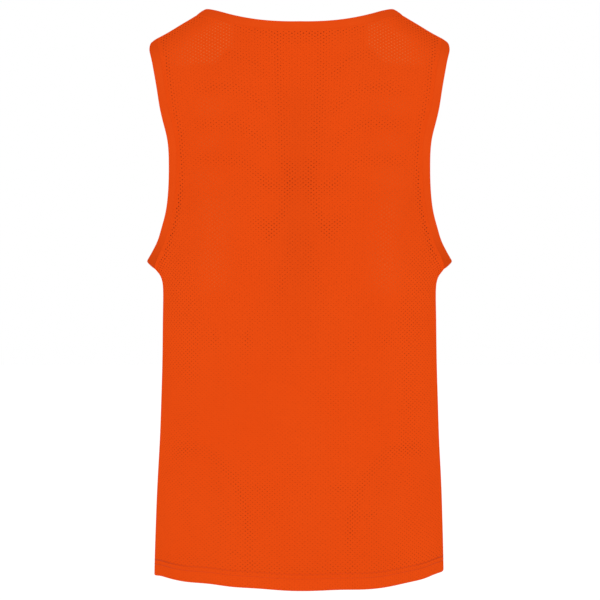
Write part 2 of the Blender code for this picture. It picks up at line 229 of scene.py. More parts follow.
# Height of a binding's outer and inner leaf off its middle, in halves of its thickness, from its seam at
# share 0 to where the fold begins.
LEAF_HEADINGS = ("share", "outer", "inner")
LEAVES = np.array(
    [
        (-0.060, -0.03, 0.26),
        (-0.025, 0.00, 0.30),
        (0.010, 0.06, 0.40),
        (0.045, 0.15, 0.52),
        (0.090, 0.28, 0.66),
        (0.160, 0.47, 0.80),
        (0.300, 0.77, 0.94),
        (0.450, 0.97, 0.99),
        (0.600, 1.05, 1.00),
        (0.740, 1.05, 0.97),
        (0.860, 0.98, 0.90),
        (0.925, 0.90, 0.83),
    ]
)

# How far the back's hem hitches up over each distance from the middle.
HEM_LINE_HEADINGS = ("from_middle", "lift")
HEM_LINE = np.array(
    [
        (-0.176, 0.0008),
        (-0.168, 0.0044),
        (-0.158, 0.0053),
        (-0.135, 0.0048),
        (-0.105, 0.0060),
        (-0.080, 0.0044),
        (-0.045, 0.0034),
        (-0.015, 0.0018),
        (0.020, 0.0010),
        (0.050, 0.0006),
        (0.075, -0.0011),
        (0.100, -0.0013),
        (0.130, 0.0000),
        (0.150, 0.0009),
        (0.163, 0.0026),
        (0.176, 0.0016),
    ]
)

# Grids: rows up the side seam and the armhole, columns along half the neck and a shoulder, how far below
# the armpit the middle's rows change step, and passes that even a grid or a loop's normals out
SIDE_ROWS = 52
ARMHOLE_ROWS = 92
NECK_COLUMNS_HALF = 52
SHOULDER_STEPS = 14
ARMPIT_BELOW = 0.040
EVENING_PASSES = 40
NORMAL_PASSES = 14
# Columns of the allowances round an opening, up a side and along a shoulder
LOOP_COLUMNS = 400
SIDE_COLUMNS = 190
SHOULDER_COLUMNS = 44
# Points of a superellipse's quarter, a dense line, a side seam and a shoulder seam, and of the tables of
# the knit's lengths across, up the body and over the roll
ARC_POINTS = 4001
DENSE = 480
SIDE_POINTS = 500
SHOULDER_POINTS = 120
ACROSS_POINTS = 241
BODY_POINTS = 301
ROLL_POINTS = 121
# Rows that a place is searched over, how far below the hem they begin, and steps of Newton's method
SEARCH_ROWS = 3000
SEARCH_BELOW = 0.02
NEWTON_STEPS = 8

BACK = -1
FRONT = 1


# ---------------------------------------------------------------- form


def spline(knots, values, at):
    """Natural cubic spline through the knots: each piece blends its two ends and their bends."""
    step = np.diff(knots)
    count = len(knots)
    matrix = np.eye(count)
    right = np.zeros(count)
    for i in range(1, count - 1):
        matrix[i, i - 1 : i + 2] = step[i - 1], 2 * (step[i - 1] + step[i]), step[i]
        right[i] = 6 * (values[i + 1] - values[i]) / step[i] - 6 * (values[i] - values[i - 1]) / step[i - 1]
    bend = np.linalg.solve(matrix, right)
    k = np.clip(np.searchsorted(knots, at) - 1, 0, count - 2)
    h = step[k]
    low = (knots[k + 1] - at) / h
    high = (at - knots[k]) / h
    straight = low * values[k] + high * values[k + 1]
    return straight + ((low**3 - low) * bend[k] + (high**3 - high) * bend[k + 1]) * h * h / 6


def even_spline(knots, values, at):
    """Spline through the knots and their mirror images about zero."""
    both = np.concatenate((-knots[:0:-1], knots))
    return spline(both, np.concatenate((values[:0:-1], values)), at)


def column(table, headings, heading):
    """The column of a short table that stands under a heading."""
    return table[:, headings.index(heading)]


def torso(height, heading):
    """A column of the torso table at any height."""
    heights = column(TORSO, TORSO_HEADINGS, "height")
    values = column(TORSO, TORSO_HEADINGS, heading)
    return spline(heights, values, np.clip(height, heights[0], heights[-1]))


def shoulder_height(x):
    """Height of the shoulder line over x."""
    from_middle = column(SHOULDER, SHOULDER_HEADINGS, "from_middle")
    return even_spline(from_middle, column(SHOULDER, SHOULDER_HEADINGS, "height"), x)


def tip_height(x):
    """Height of the shoulder line over x with its tip bent down: less the square of x past its start."""
    return shoulder_height(x) - TIP_BEND * np.maximum(x - TIP_FROM, 0) ** 2


def arc_table(power, width, depth):
    """Superellipse quarter by its own length: shares of the length, of the width and of the depth."""
    angle = np.linspace(0, math.pi / 2, ARC_POINTS)
    out = np.sin(angle) ** (2 / power)
    deep = np.cos(angle) ** (2 / power)
    step = np.hypot(np.diff(out) * width, np.diff(deep) * depth)
    length = np.concatenate(([0], np.cumsum(step)))
    return length, out, deep


SECTION_LENGTH, SECTION_OUT, SECTION_DEEP = arc_table(SECTION_POWER, SECTION_WIDTH, SECTION_DEPTH)
SECTION_SHARE = SECTION_LENGTH / SECTION_LENGTH[-1]
HEM_LENGTH, HEM_OUT, HEM_DEEP = arc_table(HEM_POWER, SECTION_WIDTH, SECTION_DEPTH)
HEM_SHARE = HEM_LENGTH / HEM_LENGTH[-1]
ROLL_LENGTH, ROLL_RISE, ROLL_REACH = arc_table(2, ROLL_HEIGHT, ROLL_DEPTH)
RIDGE = ROLL_LENGTH[-1]
SIDE_RIDGE = float(shoulder_height(np.array(SIDE_X)))
HEM_UP = HEM_HEIGHT - SIDE_RIDGE + ROLL_HEIGHT


def ease(value):
    """Smooth step from 0 to 1: three times the square less twice the cube."""
    share = np.clip(value, 0, 1)
    return share * share * (3 - 2 * share)


def side_height(up):
    """Height at the side line for a distance up the cloth, 0 where the shoulder begins to roll over."""
    rise = np.interp(up, ROLL_LENGTH, ROLL_RISE)
    return SIDE_RIDGE - ROLL_HEIGHT + np.where(up < 0, up, ROLL_HEIGHT * rise)


def section(across, height):
    """Shares of the half width and of the depth, the body's section easing into the hem's flatter one."""
    share = np.abs(across)
    flat = ease((HEM_POWER_FROM - height) / (HEM_POWER_FROM - HEM_POWER_TO))
    body_out, body_deep = (np.interp(share, SECTION_SHARE, arc) for arc in (SECTION_OUT, SECTION_DEEP))
    hem_out, hem_deep = (np.interp(share, HEM_SHARE, arc) for arc in (HEM_OUT, HEM_DEEP))
    return (1 - flat) * body_out + flat * hem_out, (1 - flat) * body_deep + flat * hem_deep


def width_at(across, up):
    """Distance from the middle: the section's half width, flared a little round the armpit."""
    height = side_height(up)
    reach = np.where(height < FLARE_HEIGHT, FLARE_BELOW, FLARE_ABOVE)
    flare = FLARE * np.exp(-(((height - FLARE_HEIGHT) / reach) ** 2))
    near_side = ease((np.abs(across) - FLARE_START) / (FLARE_FULL - FLARE_START))
    out = torso(height, "half_width") * section(across, height)[0]
    return np.sign(across) * (out + flare * near_side)


def height_at(x, up):
    """Height over x: level rings round the body, rising to follow the shoulder line further up."""
    ridge = shoulder_height(x)
    below = SIDE_RIDGE - ROLL_HEIGHT + up + (ridge - SIDE_RIDGE) * ease(1 + up / RISE_FADE)
    above = tip_height(np.abs(x)) - ROLL_HEIGHT * (1 - np.interp(up, ROLL_LENGTH, ROLL_RISE))
    return np.where(up < 0, below, above)


def form(across, up, side):
    """Point of the worn form, with x = half width by the section's share, z from the rings' height,
    y = depth by the section's share, closing over the shoulder as a quarter ellipse."""
    across, up = np.broadcast_arrays(np.asarray(across, float), np.asarray(up, float))
    x = width_at(across, up)
    z = height_at(x, up)
    depth = torso(z, "back_depth" if side == BACK else "front_depth")
    depth = depth * section(across, side_height(up))[1]
    reach = np.where(up < 0, 1, np.interp(up, ROLL_LENGTH, ROLL_REACH))
    return np.stack((x, side * depth * reach, z), axis=-1)


def slopes(across, up, side):
    """Derivatives of the form across and up, each over the smallest safe step inside its range."""
    step = 1e-4
    low = np.clip(across - step, -1, 1)
    high = np.clip(across + step, -1, 1)
    over = (form(high, up, side) - form(low, up, side)) / (high - low)[..., None]
    down = np.minimum(up + step, RIDGE) - 2 * step
    along = (form(across, down + 2 * step, side) - form(across, down, side)) / (2 * step)
    return over, along


def outward(across, up, side):
    """Unit normal of the form: the slopes' cross product, turned away from the hollow."""
    over, along = slopes(across, up, side)
    normal = np.cross(over, along) * (-side)
    return unit(normal)


def unit(vectors):
    """Vectors divided by their own length."""
    return vectors / np.maximum(np.linalg.norm(vectors, axis=-1), 1e-12)[..., None]


def locate(x, z):
    """Where on the form a point seen at x and z lies: its share across and its distance up."""
    rows = np.linspace(HEM_UP - SEARCH_BELOW, 0, SEARCH_ROWS)
    shares = SECTION_SHARE[::4]
    found = []
    for px, pz in zip(x, z):
        top = float(tip_height(np.array(px)))
        if pz > top - ROLL_HEIGHT:
            rise = np.clip(1 - (top - pz) / ROLL_HEIGHT, 0, 1)
            up = float(np.interp(rise, ROLL_RISE, ROLL_LENGTH))
        else:
            up = float(np.interp(pz, height_at(np.full(len(rows), px), rows), rows))
        widths = width_at(shares, np.full(len(shares), up))
        found.append((float(np.interp(px, widths, shares)), up))
    return np.array(found)


def lengths(points):
    """Running length along a line of points."""
    step = np.linalg.norm(np.diff(points, axis=0), axis=1)
    return np.concatenate(([0], np.cumsum(step)))


def resampled(values, run, at):
    """Rows of values at other distances along their line."""
    return np.stack([np.interp(at, run, values[:, k]) for k in range(values.shape[1])], axis=-1)


def edge_line(places, ghosts):
    """Dense smooth line on the form through the places, crossing the lines that the ghosts mirror it in."""
    first, last = ghosts
    knots = np.vstack((first, places, last))
    run = lengths(knots * np.array((HALF_GIRTH, 1.0)))
    inner = np.linspace(run[1], run[-2], DENSE)
    line = np.stack([spline(run, knots[:, k], inner) for k in (0, 1)], axis=-1)
    line[0] = places[0]
    line[-1] = places[-1]
    line[:, 0] = np.clip(line[:, 0], 0, 1)
    line[:, 1] = np.minimum(line[:, 1], RIDGE)
    return line


def moved_in(line, side, distance, inward, square_ends):
    """The line moved over the form by a distance, square to itself, towards the side that inward names.
    Newton steps solve each place's two unknowns from the dot products of the slopes and the miss."""
    start = form(line[:, 0], line[:, 1], side)
    tangent = np.gradient(start, axis=0)
    for end in square_ends:
        tangent[end] = np.array((0.0, 1.0, 0.0)) * np.sign(tangent[end, 1])
    tangent = unit(tangent)
    over, along = slopes(line[:, 0], line[:, 1], side)
    square = np.cross(unit(np.cross(over, along)), tangent)
    if np.dot(square[len(line) // 2], np.array(inward)) < 0:
        square = -square
    reach = np.full((len(line), 1), float(distance))
    place = line.copy()
    for _ in range(NEWTON_STEPS):
        over, along = slopes(place[:, 0], place[:, 1], side)
        miss = start + square * reach - form(place[:, 0], place[:, 1], side)
        first, both, second = (over * over).sum(1), (over * along).sum(1), (along * along).sum(1)
        miss_over, miss_along = (over * miss).sum(1), (along * miss).sum(1)
        area = first * second - both * both
        place[:, 0] += (second * miss_over - both * miss_along) / area
        place[:, 1] += (first * miss_along - both * miss_over) / area
        place[:, 0] = np.clip(place[:, 0], 0, 1)
        place[:, 1] = np.minimum(place[:, 1], RIDGE)
        now = np.linalg.norm(form(place[:, 0], place[:, 1], side) - start, axis=1)
        reach *= np.clip(distance / np.maximum(now, 1e-9), 0.8, 1.25)[:, None]
    return place


def picked(line, side, steps):
    """Places that share a dense line out in even steps of its length."""
    run = lengths(form(line[:, 0], line[:, 1], side))
    index = np.interp(np.linspace(0, run[-1], steps + 1), run, np.arange(len(line)))
    return resampled(line, np.arange(len(line)), index)


def armhole_edge(side):
    """Finished edge of the armhole, from under the arm up to the shoulder line."""
    heading = "back_from_middle" if side == BACK else "front_from_middle"
    from_middle = column(ARMHOLE, ARMHOLE_HEADINGS, heading)
    places = locate(from_middle[::-1], column(ARMHOLE, ARMHOLE_HEADINGS, "height")[::-1])
    places[0, 0] = 1.0
    places[-1, 1] = RIDGE
    ghosts = ((2 - places[1, 0], places[1, 1]), (places[-2, 0], 2 * RIDGE - places[-2, 1]))
    return edge_line(places, ghosts)


def neck_edge(side):
    """Finished edge of the neck, from the middle out to the shoulder line."""
    table = BACK_NECK if side == BACK else FRONT_NECK
    from_middle = column(table, NECK_HEADINGS, "from_middle")
    places = locate(from_middle, column(table, NECK_HEADINGS, "height"))
    places[0, 0] = 0.0
    places[-1, 1] = RIDGE
    ghosts = ((-places[1, 0], places[1, 1]), (places[-2, 0], 2 * RIDGE - places[-2, 1]))
    return edge_line(places, ghosts)


def armhole_line(edge, side, distance):
    """The line at a distance inside an armhole's edge, meeting its mirror image at both ends."""
    line = moved_in(edge, side, distance, (-1, 0, 0), (0, -1))
    line[0, 0] = 1.0
    line[-1, 1] = RIDGE
    return line


def neck_line(edge, side, distance):
    """The line at a distance inside the neck's edge, meeting its mirror image at both ends."""
    line = moved_in(edge, side, distance, (0.5, 0, -1), (-1,))
    line[0, 0] = 0.0
    line[-1, 1] = RIDGE
    return line


def half_grid(side, armhole_seam, neck_seam):
    """Places of half a panel: its four edges blended across and up, then evened out by averaging."""
    arm = picked(armhole_seam, side, ARMHOLE_ROWS)
    neck = picked(neck_seam, side, NECK_COLUMNS_HALF)
    seam_top = np.linspace(HEM_UP, arm[0, 1], SIDE_ROWS + 1)
    side_line = np.vstack((np.stack((np.ones(SIDE_ROWS), seam_top[:-1]), axis=-1), arm))
    shoulder = np.linspace(neck[-1], arm[-1], SHOULDER_STEPS + 1)
    top = np.vstack((neck, shoulder[1:]))
    rows = len(side_line)
    columns = len(top)
    u = np.linspace(0, 1, columns)
    armpit_row = arm[0, 1] - ARMPIT_BELOW
    middle_up = np.concatenate(
        (
            np.linspace(HEM_UP, armpit_row, SIDE_ROWS + 1)[:-1],
            np.linspace(armpit_row, top[0, 1], ARMHOLE_ROWS + 1),
        )
    )
    middle = np.stack((np.zeros(rows), middle_up), axis=-1)
    bottom = np.stack((u, np.full(columns, HEM_UP)), axis=-1)
    out = np.stack((u, u**2), axis=-1)[None]
    v = (np.linspace(0, 1, rows) ** 2)[:, None, None]
    sides = (1 - out) * middle[:, None] + out * side_line[:, None]
    ends = (1 - v) * bottom[None] + v * top[None]
    corners = (1 - v) * ((1 - out) * bottom[0] + out * bottom[-1])
    corners = corners + v * ((1 - out) * top[0] + out * top[-1])
    grid = sides + ends - corners
    for _ in range(EVENING_PASSES):
        whole = np.concatenate((grid[:, 1:2] * np.array((-1, 1)), grid), axis=1)
        level = (whole[1:-1, 2:] + whole[1:-1, :-2] + whole[2:, 1:-1] + whole[:-2, 1:-1]) / 4
        grid[1:-1, :-1] = level
        grid[:, 0, 0] = 0
    return grid


def settled(points, side):
    """The form's points with the hem's own tilt, dip, shift and hitches added, fading out up the body."""
    points = points.copy()
    x, z = points[..., 0], points[..., 2]
    fade = ease((HEM_LINE_FROM - z) / HEM_LINE_FADE)
    from_middle = column(HEM_LINE, HEM_LINE_HEADINGS, "from_middle")
    lifts = column(HEM_LINE, HEM_LINE_HEADINGS, "lift")
    share = np.clip(x / from_middle[-1], -1, 1)
    if side == BACK:
        lift = spline(from_middle, lifts, share * from_middle[-1])
    else:
        lift = (1 - share) / 2 * lifts[0] + (1 + share) / 2 * lifts[-1]
    points[..., 2] = z + fade * (HEM_TILT * share + lift - HEM_DIP * (1 - share**2))
    points[..., 0] = x + fade * HEM_SHIFT
    return points


# ---------------------------------------------------------------- cloth's own lengths and distances


def cloth_lengths(side, stretch):
    """Tables of the knit's lengths over the form: out from the middle, counted level, and up from the hem,
    counted along the cloth. Steps to the front count by the stretch, as a knit that is pulled open where it
    turns round the sides and over the shoulders."""
    across = np.linspace(0, 1, ACROSS_POINTS)
    up = np.concatenate((np.linspace(HEM_UP, 0, BODY_POINTS)[:-1], np.linspace(0, RIDGE, ROLL_POINTS)))
    points = form(across[None], up[:, None], side)
    level = np.linalg.norm(np.diff(points, axis=1) * np.array((1.0, stretch, 0.0)), axis=-1)
    climb = np.linalg.norm(np.diff(points, axis=0) * np.array((1.0, stretch, 1.0)), axis=-1)
    out = np.concatenate((np.zeros((len(up), 1)), np.cumsum(level, axis=1)), axis=1)
    rise = np.concatenate((np.zeros((1, len(across))), np.cumsum(climb, axis=0)), axis=0)
    return across, up, out, rise


def looked_up(tables, across, up):
    """Both lengths at any places, blended between the four nearest entries of the tables."""
    knots_across, knots_up, out, rise = tables
    col = np.interp(np.abs(across), knots_across, np.arange(len(knots_across)))
    row = np.interp(up, knots_up, np.arange(len(knots_up)))
    c = np.minimum(col.astype(int), len(knots_across) - 2)
    r = np.minimum(row.astype(int), len(knots_up) - 2)
    fc, fr = col - c, row - r

    def blend(table):
        below = (1 - fc) * table[r, c] + fc * table[r, c + 1]
        above = (1 - fc) * table[r + 1, c] + fc * table[r + 1, c + 1]
        return (1 - fr) * below + fr * above

    return np.sign(across) * blend(out), blend(rise)


def distance_to(points, line):
    """Distance of each point to the nearest of a dense line's points."""
    flat = points.reshape(-1, 3)
    square = (flat**2).sum(1)[:, None] + (line**2).sum(1)[None] - 2 * flat @ line.T
    return np.sqrt(np.maximum(square.min(axis=1), 0)).reshape(points.shape[:-1])


def bump(value, centre, width):
    """Bell curve: e to the minus square of the distance from the centre over the width."""
    return np.exp(-(((value - centre) / width) ** 2))


def past(value, start, fade):
    """0 up to the start, easing to 1 over the fade beyond it."""
    return ease((value - start) / fade)


def before(value, end, fade):
    """0 from the end on, easing to 1 over the fade short of it."""
    return ease((end - value) / fade)


def drape(x, z, side):
    """How far the cloth stands off the form: long soft folds, each a slow wave across that leans and
    fades along its height, with a shallow ripple at the hem."""
    lean = x + 0.05 * z * np.tanh(x / 0.04)
    low = before(z, -0.26, 0.34)
    high = past(z, -0.42, 0.18) * before(z, -0.02, 0.10)
    folds = 0.0011 * low * np.sin(lean * 52 + 0.9 * side + 1.6 * np.sin(z * 9))
    folds = folds + 0.0007 * low * np.sin(lean * 93 - 2.1 * side + 1.1 * np.sin(z * 14 + 1))
    blades = 0.0012 * high * (bump(np.abs(x), 0.108, 0.022) - 0.6 * bump(np.abs(x), 0.060, 0.024))
    pull = 0.0008 * high * np.sin((np.abs(x) * 0.75 + z) * 85) * bump(np.abs(x), 0.125, 0.035)
    return folds + blades + pull


# ---------------------------------------------------------------- meshes


def grid_mesh(name, points, uv, closed=False, turned=False, **values):
    """A mesh over a grid of points: each cell joins its four corners, and a closed grid's last column is
    its first. The UV map and the named values keep the cloth's own lengths and tones, painted light and
    shade among them."""
    rows, columns = points.shape[:2]
    kept = columns - 1 if closed else columns
    vertices = points[:, :kept].reshape(-1, 3)
    r, c = np.meshgrid(np.arange(rows - 1), np.arange(columns - 1), indexing="ij")
    corner_rows = np.stack((r, r, r + 1, r + 1), axis=-1).reshape(-1, 4)
    corner_columns = np.stack((c, c + 1, c + 1, c), axis=-1).reshape(-1, 4)
    if turned:
        corner_rows, corner_columns = corner_rows[:, ::-1], corner_columns[:, ::-1]
    faces = corner_rows * kept + corner_columns % kept
    mesh = bpy.data.meshes.new(name)
    mesh.vertices.add(len(vertices))
    mesh.vertices.foreach_set("co", vertices.astype(np.float32).ravel())
    mesh.loops.add(faces.size)
    mesh.loops.foreach_set("vertex_index", faces.astype(np.int32).ravel())
    mesh.polygons.add(len(faces))
    mesh.polygons.foreach_set("loop_start", np.arange(0, faces.size, 4, dtype=np.int32))
    mesh.polygons.foreach_set("loop_total", np.full(len(faces), 4, dtype=np.int32))
    mesh.update(calc_edges=True)
    layer = mesh.uv_layers.new(name="cloth")
    layer.data.foreach_set("uv", uv[corner_rows, corner_columns].astype(np.float32).ravel())
    for key, value in values.items():
        kept_value = np.broadcast_to(value, (rows, columns))[:, :kept]
        made = mesh.attributes.new(key, "FLOAT", "POINT")
        made.data.foreach_set("value", kept_value.astype(np.float32).ravel())
    mesh.polygons.foreach_set("use_smooth", np.ones(len(faces), dtype=bool))
    mesh.validate()
    # Open edges stay sharp, so that a wall's face doesn't shade into its rim.
    edge_of_corner = np.empty(len(mesh.loops), dtype=np.int32)
    mesh.loops.foreach_get("edge_index", edge_of_corner)
    open_edge = np.bincount(edge_of_corner, minlength=len(mesh.edges)) == 1
    sharp = mesh.attributes.new("sharp_edge", "BOOLEAN", "EDGE")
    sharp.data.foreach_set("value", open_edge)
    return mesh


def placed(name, mesh, material, wall=0.0):
    """An object of the scene that rides on the bib's root, with the material given and a wall if one is
    asked for.
    """
    made = bpy.data.objects.new(name, mesh)
    bpy.context.scene.collection.objects.link(made)
    mesh.materials.append(material)
    if wall:
        solid = made.modifiers.new("wall", "SOLIDIFY")
        solid.thickness = wall
        solid.offset = 0.0
        solid.use_even_offset = True
    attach(made, "root")
    return made


def seam_distances(rest, armhole_seam, neck_seam, side):
    """Distances over a panel: to the nearest binding, to where the eyelets may begin, which is closer at
    the neck, and to the side and shoulder seams. The grid's own edges are at 0."""
    arm = form(armhole_seam[:, 0], armhole_seam[:, 1], side)
    neck = form(neck_seam[:, 0], neck_seam[:, 1], side)
    mirror = np.array((-1.0, 1.0, 1.0))
    from_arm = distance_to(rest, np.vstack((arm, arm * mirror)))
    from_arm[SIDE_ROWS:, (0, -1)] = 0
    from_neck = distance_to(rest, np.vstack((neck, neck * mirror)))
    from_neck[-1, SHOULDER_STEPS:-SHOULDER_STEPS] = 0
    band = np.minimum(from_arm, from_neck)
    bare = np.minimum(from_arm, from_neck + NECK_NEARER)
    side_seam = form(1.0, np.linspace(HEM_UP, armhole_seam[0, 1], SIDE_POINTS), side)
    ridge = form(np.linspace(neck_seam[-1, 0], armhole_seam[-1, 0], SHOULDER_POINTS), RIDGE, side)
    seam = distance_to(rest, np.vstack((side_seam, side_seam * mirror, ridge, ridge * mirror)))
    seam[: SIDE_ROWS + 1, (0, -1)] = 0
    seam[-1, : SHOULDER_STEPS + 1] = 0
    seam[-1, -SHOULDER_STEPS - 1 :] = 0
    return dict(band=band, bare=bare, seam=seam)


def turned_hem(edge, out, rise):
    """Rows of the hem behind a panel's lower edge: a flat strip turned up inside, then half a circle round
    the fold. Gives the rows, their lengths down the cloth and their heights above the fold."""
    rows, length, height = [], [], []
    for share in HEM_STRIP_SHARES:
        reach = HEM_FOLD + (HEM_DEPTH - HEM_FOLD) * share
        rows.append(edge - out * 2 * HEM_FOLD + rise * reach)
        length.append(-reach - HEM_TURN)
        height.append(reach)
    for angle in np.radians(HEM_FOLD_ANGLES):
        reach = HEM_FOLD * (1 - math.sin(angle))
        rows.append(edge - out * HEM_FOLD * (1 - math.cos(angle)) + rise * reach)
        length.append(-HEM_FOLD * angle)
        height.append(reach)
    rows.append(edge + rise * HEM_FOLD)
    return np.array(rows), np.array(length + [0.0])[:, None], np.array(height + [HEM_FOLD])[:, None]


def panel(side, grid, armhole_seam, neck_seam):
    """A whole panel: the half grid and its mirror image on the form, stood off by the drape, drawn in a
    little along its seams, with the hem turned up inside round a half circle. Gives its points, its UV map,
    its distances, its rows of hem and its height as cut."""
    full = np.concatenate((grid[:, :0:-1] * np.array((-1, 1)), grid), axis=1)
    across, up = full[..., 0], full[..., 1]
    rest = form(across, up, side)
    distances = seam_distances(rest, armhole_seam, neck_seam, side)
    normal = outward(across, up, side)
    near = np.minimum(distances["band"], distances["seam"])
    stand = drape(rest[..., 0], rest[..., 2], side) * ease(near / DRAPE_FADE)
    stand = stand - DRAWN_IN * np.exp(-((near / DRAWN_IN_REACH) ** 2))
    points = settled(rest + normal * stand[..., None], side)
    rows = slice(0, SIDE_ROWS + 1)
    for edge, beside in ((0, 1), (-1, -2)):
        points[rows, edge, 1] = side * mitred(points[rows, beside] - points[rows, edge], 0)
        normal[rows, edge, 1] = 0
    for columns in (slice(0, SHOULDER_STEPS + 1), slice(-SHOULDER_STEPS - 1, None)):
        points[-1, columns, 1] = side * mitred(points[-2, columns] - points[-1, columns], 2)
    normal = unit(normal)
    v = looked_up(cloth_lengths(side, 1.0), across, up)[1]
    u, courses = looked_up(cloth_lengths(side, TURN_STRETCH), across, up)
    # The knit is a little wider over the shoulders and a little narrower below the chest.
    stretch = 1.07 - 0.10 * before(rest[..., 2], -0.02, 0.18) - 0.05 * before(rest[..., 2], -0.20, 0.20)
    uv = np.stack((u / stretch, courses), axis=-1)
    hem_rows, hem_length, hem_height = turned_hem(points[0], normal[0], unit(points[1] - points[0]))
    count = len(hem_rows)
    hem_uv = np.stack(np.broadcast_arrays(uv[:1, :, 0], hem_length), axis=-1)
    points = np.concatenate((hem_rows, points[1:]), axis=0)
    uv = np.concatenate((hem_uv, uv[1:]), axis=0)
    for key, value in distances.items():
        turned = np.broadcast_to(value[0], (count, value.shape[1]))
        distances[key] = np.concatenate((turned, value[1:]), axis=0)
    distances["hem"] = np.concatenate((hem_height + 0 * u[0], v[1:]), axis=0)
    return points, uv, distances, count, float(v.max()) + HEM_DEPTH


def mitred(reach, axis):
    """How far a panel's edge stays off the plane y = 0, so that its wall meets the other panel's."""
    tilt = np.abs(reach[..., axis]) / np.hypot(reach[..., axis], reach[..., 1])
    return PANEL_WALL / 2 * tilt - SEAM_CLOSE


def tones(points):
    """Painted light and shade over the cloth, by its place on the body: painted shade along the spine, over
    the shoulder blades and where the shoulders roll over, painted light down the sides."""
    x, z = np.abs(points[..., 0]), points[..., 2]
    drop = shoulder_height(x) - z
    shade = 1 - 0.016 * bump(x, 0.090, 0.032) * past(z, -0.30, 0.08)
    shade = shade - 0.052 * bump(x, 0, 0.030) * past(z, -0.43, 0.16) * before(z, -0.06, 0.06)
    shade = shade - 0.014 * past(z, -0.09, 0.04) * past(x, 0.03, 0.03)
    shade = shade - 0.060 * bump(drop, 0.014, 0.010) * past(x, 0.10, 0.02)
    shade = shade - 0.02 * bump(z, -0.222, 0.018) * bump(x, 0.130, 0.012)
    shade = shade + 0.030 * past(x, 0.085, 0.05) * before(z, -0.27, 0.04)
    shade = shade - 0.008 * past(x, 0.10, 0.05) * before(z, -0.45, 0.08)
    shade = shade - 0.008 * bump(z, -0.360, 0.050) * past(x, 0.10, 0.03)
    shade = shade + 0.010 * bump(z, -0.495, 0.030) * bump(x, 0.092, 0.035)
    shade = shade + 0.026 * before(x, 0.13, 0.04) * before(z, -0.649, 0.003)
    shade = shade + 0.035 * bump(z, -0.297, 0.012) * past(x, 0.150, 0.015)
    return shade


def rib_wave(x, z):
    """Wave of the ribs, 1 along each of them, that sweeps down towards the spine."""
    at = z + RIB_SWEEP * bump(x, 0.028, 0.026)
    return 0.5 + 0.5 * np.cos((at - RIB_HEIGHT) * 2 * math.pi / RIB_PITCH)


def spine_lines(x, z):
    """Eyelets down the middle of the back: a column on each side of the spine, bells of the distance from
    it; wings below the blades that open as the square of the drop; and two thin trails that spread."""
    from_middle = 0.0265 - 0.0075 * before(z, -0.03, 0.14)
    spine = 0.40 * bump(x, from_middle, 0.0060) * past(z, -0.195, 0.02) * before(z, -0.012, 0.02)
    wing = 0.0110 + 3.8 * np.maximum(-0.184 - z, 0) ** 2
    wings = 0.62 * bump(x, wing, 0.0070) * before(z, -0.165, 0.02) * past(z, -0.274, 0.012)
    wings = wings + 0.26 * bump(x, 0, 0.015) * bump(z, -0.2000, 0.0080)
    wings = wings + 0.62 * bump(x, 0.033 + 0.5 * (z + 0.203), 0.0130) * bump(z, -0.2025, 0.0088)
    wings = wings + 0.62 * bump(x, 0.042 + 0.5 * (z + 0.247), 0.0120) * bump(z, -0.2470, 0.0100)
    trail = 0.0085 + 0.24 * (-0.266 - z)
    trails = (0.34 * bump(x, trail, 0.0060) + 0.06 * bump(x, 0, 0.005)) * before(z, -0.250, 0.02)
    return spine + wings + trails * past(z, -0.365, 0.05)


def rib_lines(x, z):
    """Eyelets along the ribs: the cube of their wave, inside the blades' width and height."""
    across = past(x, 0.032, 0.010) * before(x, 0.130, 0.016)
    return 0.40 * rib_wave(x, z) ** 3 * across * before(z, -0.034, 0.015) * past(z, -0.235, 0.05)


def waist_lines(x, z):
    """Eyelets over the waist: two spots a side, thin tails that fade below them, and the flanks, each a
    bell across or a smooth step."""
    spots = 0.46 * (bump(x, 0.061, 0.006) + bump(x, 0.100, 0.006)) * bump(z, -0.381, 0.011)
    tails = 0.17 * (bump(x, 0.061, 0.005) + bump(x, 0.0365, 0.005) + bump(x, 0.017, 0.004))
    tails = tails * before(z, -0.365, 0.02) * past(z, -0.500, 0.10)
    flank = 0.24 * past(x, 0.108, 0.014) * before(z, -0.255, 0.04) * past(z, -0.522, 0.018)
    flank = flank + 0.14 * past(x, 0.105, 0.03) * before(z, -0.50, 0.02)
    flank = flank + 0.16 * bump(x, 0.130, 0.013) * before(z, -0.270, 0.04) * past(z, -0.510, 0.03)
    return spots + tails + flank


def hip_lines(x, z):
    """Eyelets over the hips: two loops a side, bells of the distance from an ellipse's line, an even rise
    towards the hem, and three short level rows."""
    hips = np.hypot((x - 0.125) / 0.0675, (z + 0.620) / 0.111)
    inner = np.hypot((x - 0.108) / 0.022, (z + 0.585) / 0.048)
    loops = (0.56 * bump(hips, 1.0, 0.070) + 0.18 * bump(inner, 1.0, 0.22)) * before(x, 0.158, 0.02)
    loops = loops * (1 - 0.55 * before(z, -0.602, 0.025))
    low = (0.07 + 0.08 * before(x, 0.080, 0.02)) * before(z, -0.50, 0.06)
    places = bump(x, 0.101, 0.010) + bump(x, 0.045, 0.012) + bump(x, 0.150, 0.010)
    marks = bump(z, -0.5530, 0.0022) * places
    marks = marks + (bump(z, -0.5840, 0.0022) + bump(z, -0.6270, 0.0022)) * bump(x, 0.078, 0.013)
    return loops + low + 0.5 * marks


